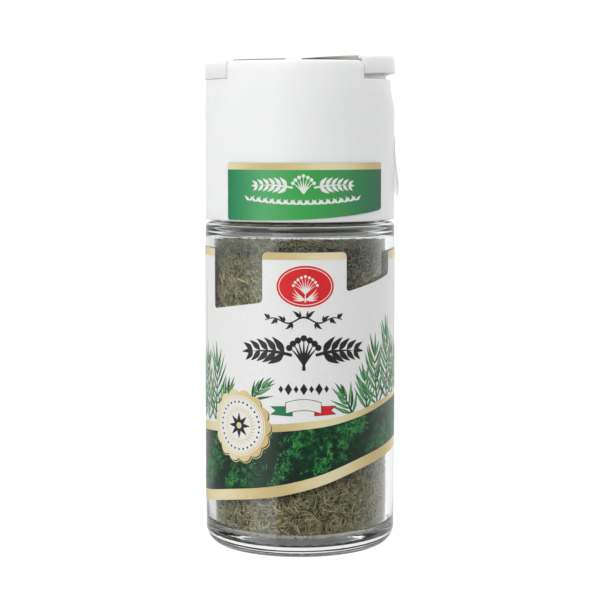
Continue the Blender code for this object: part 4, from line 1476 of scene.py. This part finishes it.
def herb_sprigs(surface):
    """The green herb sprigs that rise from the upper gold band on both sides of the front."""
    draw = random.Random(31)
    tones = {"dark": [], "mid": [], "light": [], "straw": []}
    plants = (
        (-80.0, 30.5, 92, 11.0, 6, 6, 7.0),
        (-70.0, 30.5, 98, 13.0, -8, 8, 8.2),
        (-61.0, 31.0, 80, 12.5, 14, 7, 8.8),
        (-53.0, 32.0, 74, 6.0, -12, 4, 6.8),
        (-29.0, 37.0, 52, 3.5, -16, 3, 5.6),
        (32.0, 33.6, 112, 4.6, 14, 4, 5.8),
        (43.0, 34.2, 92, 6.5, 10, 4, 6.6),
        (53.0, 34.8, 102, 11.5, -14, 7, 8.0),
        (63.0, 36.0, 86, 14.5, 10, 9, 8.0),
        (73.0, 36.5, 96, 9.0, -8, 6, 7.0),
        (82.0, 36.8, 88, 8.0, 8, 5, 6.6),
    )
    for angle, z, heading, length, bend, leaves, reach in plants:
        root = (surface.along(angle), z * MM)
        turn, curve = math.radians(heading), math.radians(bend)
        sprig(draw, tones, root, turn, length * MM, curve, leaves, reach * MM, 0.8 * MM)
    leaf_inks = {"dark": "leaf_dark", "mid": "leaf_mid", "straw": "straw", "light": "leaf_light"}
    for level, (tone, ink) in zip((2, 3, 4, 4), leaf_inks.items()):
        printed(f"sprigs_{tone}", surface, tones[tone], ink, level, 0.0035 * MM)


def foliage_tufts(surface):
    """Bushes of fine leaf that fill the dark green band, brighter where they come forward."""
    draw = random.Random(17)
    tufts, blades = 520, 9
    tones = {"tuft_dark": [], "tuft_mid": [], "tuft_light": []}
    for _ in range(tufts):
        angle = draw.uniform(-87.0, 95.0)
        low = label_bottom(angle) + 3.0 * MM
        high = upper_band_low(angle) - 0.6 * MM
        z = draw.uniform(low, high)
        x = surface.along(angle)
        drift = math.sin(x * 520 - z * 420 + 1.9 * math.sin(x * 110 + 0.6)) + draw.gauss(0, 0.25)
        if drift < -0.35:
            continue
        shares = (5, 4, 1) if drift < 0.4 else (3, 5, 3)
        heading = math.radians(draw.gauss(66, 30))
        for _ in range(blades):
            root = (x + draw.gauss(0, 0.45) * MM, z + draw.gauss(0, 0.4) * MM)
            reach = draw.uniform(0.6, 1.25) * MM
            tone = draw.choices(tuple(tones), shares)[0]
            if root[1] + reach < upper_band_low(math.degrees(root[0] / LABEL_RADIUS)) + 0.8 * MM:
                turn = heading + draw.gauss(0, 0.6)
                tones[tone].append(stroke(root, turn, reach, 0.24 * MM, draw.uniform(-0.6, 0.6), 4))
    for level, (tone, outlines) in enumerate(tones.items()):
        printed(f"foliage_{tone}", surface, outlines, tone, 2 + level, 0.0035 * MM)


def back_panel(surface):
    """The back of the label: a ruled table, fine rules, two small sprays, and hairlines beside the front."""
    draw = random.Random(9)
    grey, green = [], []
    left, right = (surface.along(angle) for angle in BACK_TABLE)
    low, high = BACK_TABLE_Z, BACK_TABLE_Z + 8 * BACK_TABLE_STEP
    thin, thick = 0.14 * MM, 0.3 * MM
    for k in range(9):
        z = low + BACK_TABLE_STEP * k
        grey.append(rectangle(left, z, right, z + (0.35 * MM if k in (0, 8) else thin)))
    for x in (left, right - thick):
        grey.append(rectangle(x, low, x + thick, high + 0.35 * MM))
    divide = left + (right - left) * 0.62
    grey.append(rectangle(divide, low, divide + thin, high))
    rules = [BACK_RULES_Z - BACK_RULES_STEP * k for k in range(17)]
    for z in rules[:6]:
        grey.append(rectangle(left, z, right - draw.uniform(0, 7) * MM, z + thick))
    start, end = (surface.along(angle) for angle in BACK_TEXT)
    for k, z in enumerate(rules):
        if k not in (5, 6, 12):
            short = draw.uniform(2, 9) if k in (4, 11, 16) else draw.uniform(0, 1.2)
            grey.append(rectangle(start, z, end - short * MM, z + thick))
    for angle, z in ((144, 49.5 * MM), (210, 17.5 * MM)):
        for side in (-1, 1):
            root = (surface.along(angle) + side * 1.0 * MM, z)
            garland(green, root, side, 7.5 * MM, 5, 2.4 * MM, 0.85 * MM, 0.2)
    for angle in (-76.0, 77.5):
        x = surface.along(angle)
        grey.append(rectangle(x, 41 * MM, x + 0.18 * MM, 63 * MM))
    printed("back_rules", surface, grey, "grey", 1, 0.003 * MM)
    printed("back_sprays", surface, green, "leaf_mid", 2, 0.003 * MM)
    start, end = surface.along(BACK_PANEL_START + 12), surface.along(264)
    bands = [rectangle(start, z, end, z + 0.7 * MM) for z in (14.2 * MM, 12.4 * MM)]
    printed("back_gold_rules", surface, bands, "gold", 2)


def upper_band_low(angle):
    return curve_through(UPPER_BAND_LINE, angle)


def upper_band_high(angle):
    return upper_band_low(angle) + curve_through(UPPER_BAND_WIDTH_LINE, angle)


def make_jar_label(paper, inks):
    columns = [(a, label_bottom(a), label_top(a)) for a in label_angles()]
    label = paper_band("wrap_label", columns, LABEL_RADIUS, PAPER, paper, ring=True)
    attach(label, "jar")
    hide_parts("jar_label")
    surface = Surface(LABEL_RADIUS, "jar", "label_paper", inks)
    field = band_outline(surface, shifted(label_bottom, 2.4 * MM), upper_band_low, *PRINT_SPAN)
    printed("foliage_band", surface, [field], "foliage", 1)
    foliage_tufts(surface)
    low, high = shifted(label_bottom, 0.02 * MM), shifted(label_bottom, 2.55 * MM)
    lower = band_outline(surface, low, high, *PRINT_SPAN)
    upper = band_outline(surface, upper_band_low, upper_band_high, *PRINT_SPAN)
    printed("gold_bands", surface, [lower, upper], "gold", 5)
    spans = (
        (LEFT_WINDOW[1], RIGHT_WINDOW[0], level_line(TAB_TOP_Z - 1.65 * MM)),
        (RIGHT_WINDOW[1], 360 + LEFT_WINDOW[0], shifted(side_top, -1.85 * MM)),
    )
    top = shifted(label_top, -0.03 * MM)
    edges = []
    for start, end, line in spans:
        edges.append(band_outline(surface, line, top, start + 0.02, end - 0.02, corner=4.0))
    printed("gold_top_edges", surface, edges, "gold", 5)
    herb_sprigs(surface)
    medallion(surface)
    dark_ornaments(surface)
    flag_ribbon(surface)
    rosette(surface)
    back_panel(surface)


def make_cap_sticker(green, inks):
    surface = Surface(STICKER_RADIUS, "jar", "green_print", inks)
    start, end = STICKER_SPAN
    corner = math.degrees(STICKER_CORNER / CAP_RADIUS)
    parts = (0.004, 0.05, 0.15, 0.3, 0.55, 0.8)
    angles = [start + corner * part for part in parts]
    angles += spread(start + corner, end - corner, 90)
    angles += [end - corner * part for part in reversed(parts)]

    def cut(angle):
        inside = min(1.0, min(angle - start, end - angle) / corner)
        return STICKER_CORNER * (1 - math.sqrt(max(0.0, 1 - (1 - inside) ** 2)))

    def low(angle):
        along = (angle - start) / (end - start)
        return STICKER_LOW_Z + STICKER_RISE * along**2.6 + cut(angle)

    def high(angle):
        return STICKER_TOP_Z - cut(angle)

    columns = [(a, low(a), high(a)) for a in angles]
    sticker = paper_band("cap_sticker_paper", columns, STICKER_RADIUS, PAPER, green, ring=False)
    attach(sticker, "jar")
    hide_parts("cap_sticker")
    line, top = level_line(STICKER_TOP_Z - 1.55 * MM), shifted(high, -0.02 * MM)
    gold = band_outline(surface, line, top, start + 0.12, end - 0.12, 0.5)
    printed("sticker_gold", surface, [gold], "gold", 1)
    sticker_garland(surface)


def sticker_garland(surface):
    """The white print on the cap's label: a leafy garland over a row of small leaves."""
    middle = surface.along(STICKER_MIDDLE)
    outlines = []
    for side in (-1, 1):
        root = (middle + side * 2.4 * MM, STICKER_GARLAND_Z)
        garland(outlines, root, side, 8.4 * MM, 6, 2.7 * MM, 1.05 * MM, 0.2)
    foot = (middle, STICKER_GARLAND_Z - 1.3 * MM)
    umbel(outlines, foot, math.pi / 2, 4.0 * MM, 0.8, 7, 0.34 * MM, 0.42 * MM)
    for k in range(-8, 9):
        x = middle + k * 1.6 * MM
        z = STICKER_ROW_Z + 0.9 * MM * (k / 8) ** 2
        for way in (-1, 1):
            outlines.append(stroke((x, z), math.pi / 2 - way * 0.8, 1.7 * MM, 0.72 * MM, way * 0.5, 6))
    printed("sticker_garland", surface, outlines, "cream", 2, 0.003 * MM)


def make_seal_strip(material):
    """What is left of the paper seal on the cap's right side, with its lower end lifted."""
    top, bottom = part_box("seal_strip")[1].z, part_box("seal_strip")[0].z
    front, back = [], []
    for down in spread(0, 1, 28):
        if down < 0.8:
            lift, width = 1.0 * MM * max(0.0, (down - 0.15) / 0.65) ** 1.5, SEAL_HALF_WIDTH
        else:
            lift = 1.0 * MM * (1.8 - down)
            width = SEAL_HALF_WIDTH * math.sqrt(max(0.0, 1 - ((down - 0.8) / 0.201) ** 2))
        spans = [SEAL_ANGLE + math.degrees(width / CAP_RADIUS) * part for part in spread(-1, 1, 12)]
        for side, thick in ((front, 0.12 * MM), (back, 0.0)):
            radius = CAP_RADIUS + 0.02 * MM + min(lift, SEAL_LIFT) + thick
            side.append([around(angle, radius, top + (bottom - top) * down) for angle in spans])
    columns = [f + b[::-1] for f, b in zip(front, back)]
    strip = swept("seal_strip_paper", columns, material, ring=False, sharp=50.0)
    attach(strip, "jar")
    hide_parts("seal_strip")


def flat_print(name, shapes, level, material):
    """Ink on a flat top: outlines laid at their level over the paper."""
    low, high = FLAP_TOP_Z + 0.1 * MM, FLAP_TOP_Z + TOP_PAPER[1] + 0.006 * MM * level
    return linked(name, slab(name, shapes, low, high), material)


def top_ornaments(side_name, side, radius, start, inks):
    """The print on a flap's label: a gold line round it, and a cream spray that fans out from the hinge."""
    inset, width = 0.55 * MM, 0.75 * MM
    loops = []
    for gap in (inset, inset + width):
        reach, near = radius - gap, start + gap
        end = math.acos(near / reach)
        loops.append([(side * x, y) for x, y in ring_arc(reach, -end, end, 64)])
    border = flat_print(f"{side_name}_top_border", [loops], 1, inks["gold"])
    spray = []
    for k in range(-3, 4):
        heading = (0.0 if side > 0 else math.pi) + side * k * 0.43
        root = (side * (start + 2.2 * MM), k * 0.55 * MM)
        length = (10.8 - 0.35 * abs(k)) * MM
        points = stem_points(root, heading, length, 0.0, 5)
        for i, (x, y, angle) in enumerate(points[1:]):
            for way in (-1, 1):
                start_leaf = beside(x, y, angle, 0.15 * MM, way * 0.1 * MM)
                turn = angle + way * (0.5 + 0.02 * i)
                spray.append(stroke(start_leaf, turn, (1.15 + 0.12 * i) * MM, 0.5 * MM, 0.0, 6))
    cream = flat_print(f"{side_name}_top_spray", spray, 2, inks["cream"])
    return [border, cream]


def make_top_label(side_name, side, body, material, shaded_edge_ink, inks):
    """The printed paper on a flap, and its strip that turns down over the plate's edge beside the lip,
    coloured with print and painted shade.
    """
    radius = CAP_RADIUS - 3.4 * MM
    start = HINGE_OFFSET + 0.7 * MM
    end = math.acos(start / radius)
    outline = [(side * x, y) for x, y in ring_arc(radius, -end, end, 64)]
    low, high = (FLAP_TOP_Z + rise for rise in TOP_PAPER)
    label = prism(f"{side_name}_top_paper", [outline], low, high, material)
    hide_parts(f"top_label_{side_name}")
    pieces = [label] + top_ornaments(side_name, side, radius, start, inks)
    outer = CAP_RADIUS - CAP_WALL - CLEARANCE
    lip_half = NOTCH_HALF_ANGLE + math.radians(0.5)
    far = math.acos((HINGE_OFFSET + 0.25 * MM) / outer)
    near_face, far_face, fold = outer + 0.02 * MM, outer + 0.12 * MM, outer - 0.3 * MM
    section = [(near_face, HINGE_Z + 0.08 * MM), (near_face, FLAP_TOP_Z - 0.22 * MM)]
    section += [(fold, FLAP_TOP_Z + 0.03 * MM), (fold, FLAP_TOP_Z + 0.12 * MM)]
    section += [(far_face, FLAP_TOP_Z - 0.18 * MM), (far_face, HINGE_Z + 0.08 * MM)]
    for name, way in (("front", -1), ("rear", 1)):
        columns = []
        for angle in spread(lip_half, far, 30):
            columns.append([(side * r * math.cos(angle), way * r * math.sin(angle), z) for r, z in section])
        pieces.append(swept(f"{side_name}_top_edge_{name}", columns, shaded_edge_ink, ring=False, sharp=30.0))
    for piece in pieces:
        piece.data.transform(opened(side))
        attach(piece, body)


# Room, light and camera

def angle_ramp(nodes, x, y, stops):
    """A strength by the direction round the jar, from stops of (degrees from the front, strength)."""
    turn = nodes.turn_from_front(x, y)
    whole = nodes.node("MapRange", {"Value": turn, "From Min": -math.pi, "From Max": math.pi})
    return nodes.ramp(whole.outputs["Result"], [((angle + 180) / 360, value) for angle, value in stops])


def make_floor():
    """The pale floor: pure white to the camera, a painted shadow just under the jar as a dim glow, and
    elsewhere open to the room.
    """
    bpy.ops.mesh.primitive_plane_add(size=6.0, location=(0, 0, -0.4 * MM))
    floor = bpy.context.object
    floor.name = "pale_floor"
    material = bpy.data.materials.new("pale floor")
    material.use_nodes = True
    nodes = Nodes(material.node_tree)
    nodes.tree.nodes.remove(nodes.tree.nodes["Principled BSDF"])
    place = nodes.node("TexCoord").outputs["Object"]
    far = nodes.node("VectorMath", {0: place}, operation="LENGTH").outputs["Value"]
    edges = {"From Min": GLASS_RADIUS - 3 * MM, "From Max": GLASS_RADIUS + 4 * MM}
    shade = nodes.node("MapRange", {"Value": far} | edges, interpolation_type="SMOOTHSTEP").outputs["Result"]
    # Painted shadow: a dim glow under the jar stands in for its shade on the floor
    under = nodes.node("Emission", {"Strength": PAINTED_FLOOR_SHADOW}).outputs["Emission"]
    seen = nodes.node("Emission", {"Strength": BACKDROP}).outputs["Emission"]
    lit = nodes.mixed_shader(shade, under, nodes.node("BsdfTransparent").outputs["BSDF"])
    camera = nodes.node("LightPath").outputs["Is Camera Ray"]
    nodes.set_surface(nodes.mixed_shader(camera, lit, seen))
    floor.data.materials.append(material)


def make_room():
    """The room: pure white to the camera, and soft strips of light round the jar to everything else."""
    world = bpy.data.worlds.new("studio")
    bpy.context.scene.world = world
    world.use_nodes = True
    nodes = Nodes(world.node_tree)
    x, y, z = nodes.node("SeparateXYZ", {"Vector": nodes.node("TexCoord").outputs["Generated"]}).outputs
    level = nodes.node("MapRange", {"Value": z, "From Min": -0.01, "From Max": 0.06}).outputs["Result"]
    strips = {6: angle_ramp(nodes, x, y, FLOOR_STRIPS), 7: angle_ramp(nodes, x, y, ROOM_STRIPS)}
    lit = nodes.node("Mix", {"Factor": level} | strips, data_type="RGBA").outputs[2]
    camera = nodes.node("LightPath").outputs["Is Camera Ray"]
    strength = nodes.node("Mix", {"Factor": camera, "A": lit, "B": BACKDROP}).outputs["Result"]
    background = nodes.tree.nodes["Background"]
    nodes.link(strength, background.inputs["Strength"])
    background.inputs["Color"].default_value = (1.0, 1.0, 1.0, 1.0)


def lamp(name, location, target, size, power):
    data = bpy.data.lights.new(name, "AREA")
    data.shape = "RECTANGLE"
    data.size, data.size_y = size
    data.energy = power
    thing = bpy.data.objects.new(name, data)
    bpy.context.scene.collection.objects.link(thing)
    thing.location = location
    thing.rotation_euler = (Vector(target) - Vector(location)).to_track_quat("-Z", "Y").to_euler()


def make_lights():
    lamp("key", (-0.34, -0.72, 0.45), (0, 0, 0.06), (0.4, 0.6), KEY_POWER)
    lamp("top", (-0.1, 0.1, 0.8), (0, 0, 0.05), (0.6, 0.6), TOP_POWER)


def make_camera():
    """Fitted to the photograph: its distance, height, slight tilt and framing shift."""
    distance, height = 432.8 * MM, 97.18 * MM
    focal_pixels, frame_pixels, sensor = 1814.3, 600, 36.0
    pitch = math.radians(3.907)
    centre_row = 260.0
    data = bpy.data.cameras.new("photo camera")
    data.sensor_width = sensor
    data.lens = focal_pixels * sensor / frame_pixels
    data.shift_y = (centre_row - frame_pixels / 2) / frame_pixels
    data.clip_start, data.clip_end = 0.01, 20.0
    thing = bpy.data.objects.new("photo camera", data)
    bpy.context.scene.collection.objects.link(thing)
    thing.location = (0.0, -distance, height)
    thing.rotation_euler = (math.pi / 2 - pitch, 0.0, 0.0)
    bpy.context.scene.camera = thing


def main():
    view = bpy.context.scene.view_settings
    view.view_transform = "Standard"
    white = plastic_material()
    paper = paper_material()
    inks = {"gold": gold_material(), "foliage": foliage_material()}
    inks |= {key: ink_material(*values) for key, values in INKS.items()}
    make_camera()
    make_floor()
    make_room()
    make_lights()
    make_glass(glass_material())
    make_dill()
    make_cap(white)
    make_flap("left", -1, "sifter_flap", white)
    make_flap("right", 1, "spoon_flap", white)
    make_jar_label(paper, inks)
    # The cap label's green carries a painted highlight and painted shade round the cap
    make_cap_sticker(lit_green_print_material(), inks)
    make_seal_strip(seal_material())
    top_print = ink_material("top print", (0.02, 0.12, 0.05))
    # The turned-down edge's brown print carries painted shade
    shaded_edge_ink = shaded_edge_material()
    make_top_label("left", -1, "sifter_flap", top_print, shaded_edge_ink, inks)
    make_top_label("right", 1, "spoon_flap", top_print, shaded_edge_ink, inks)


main()
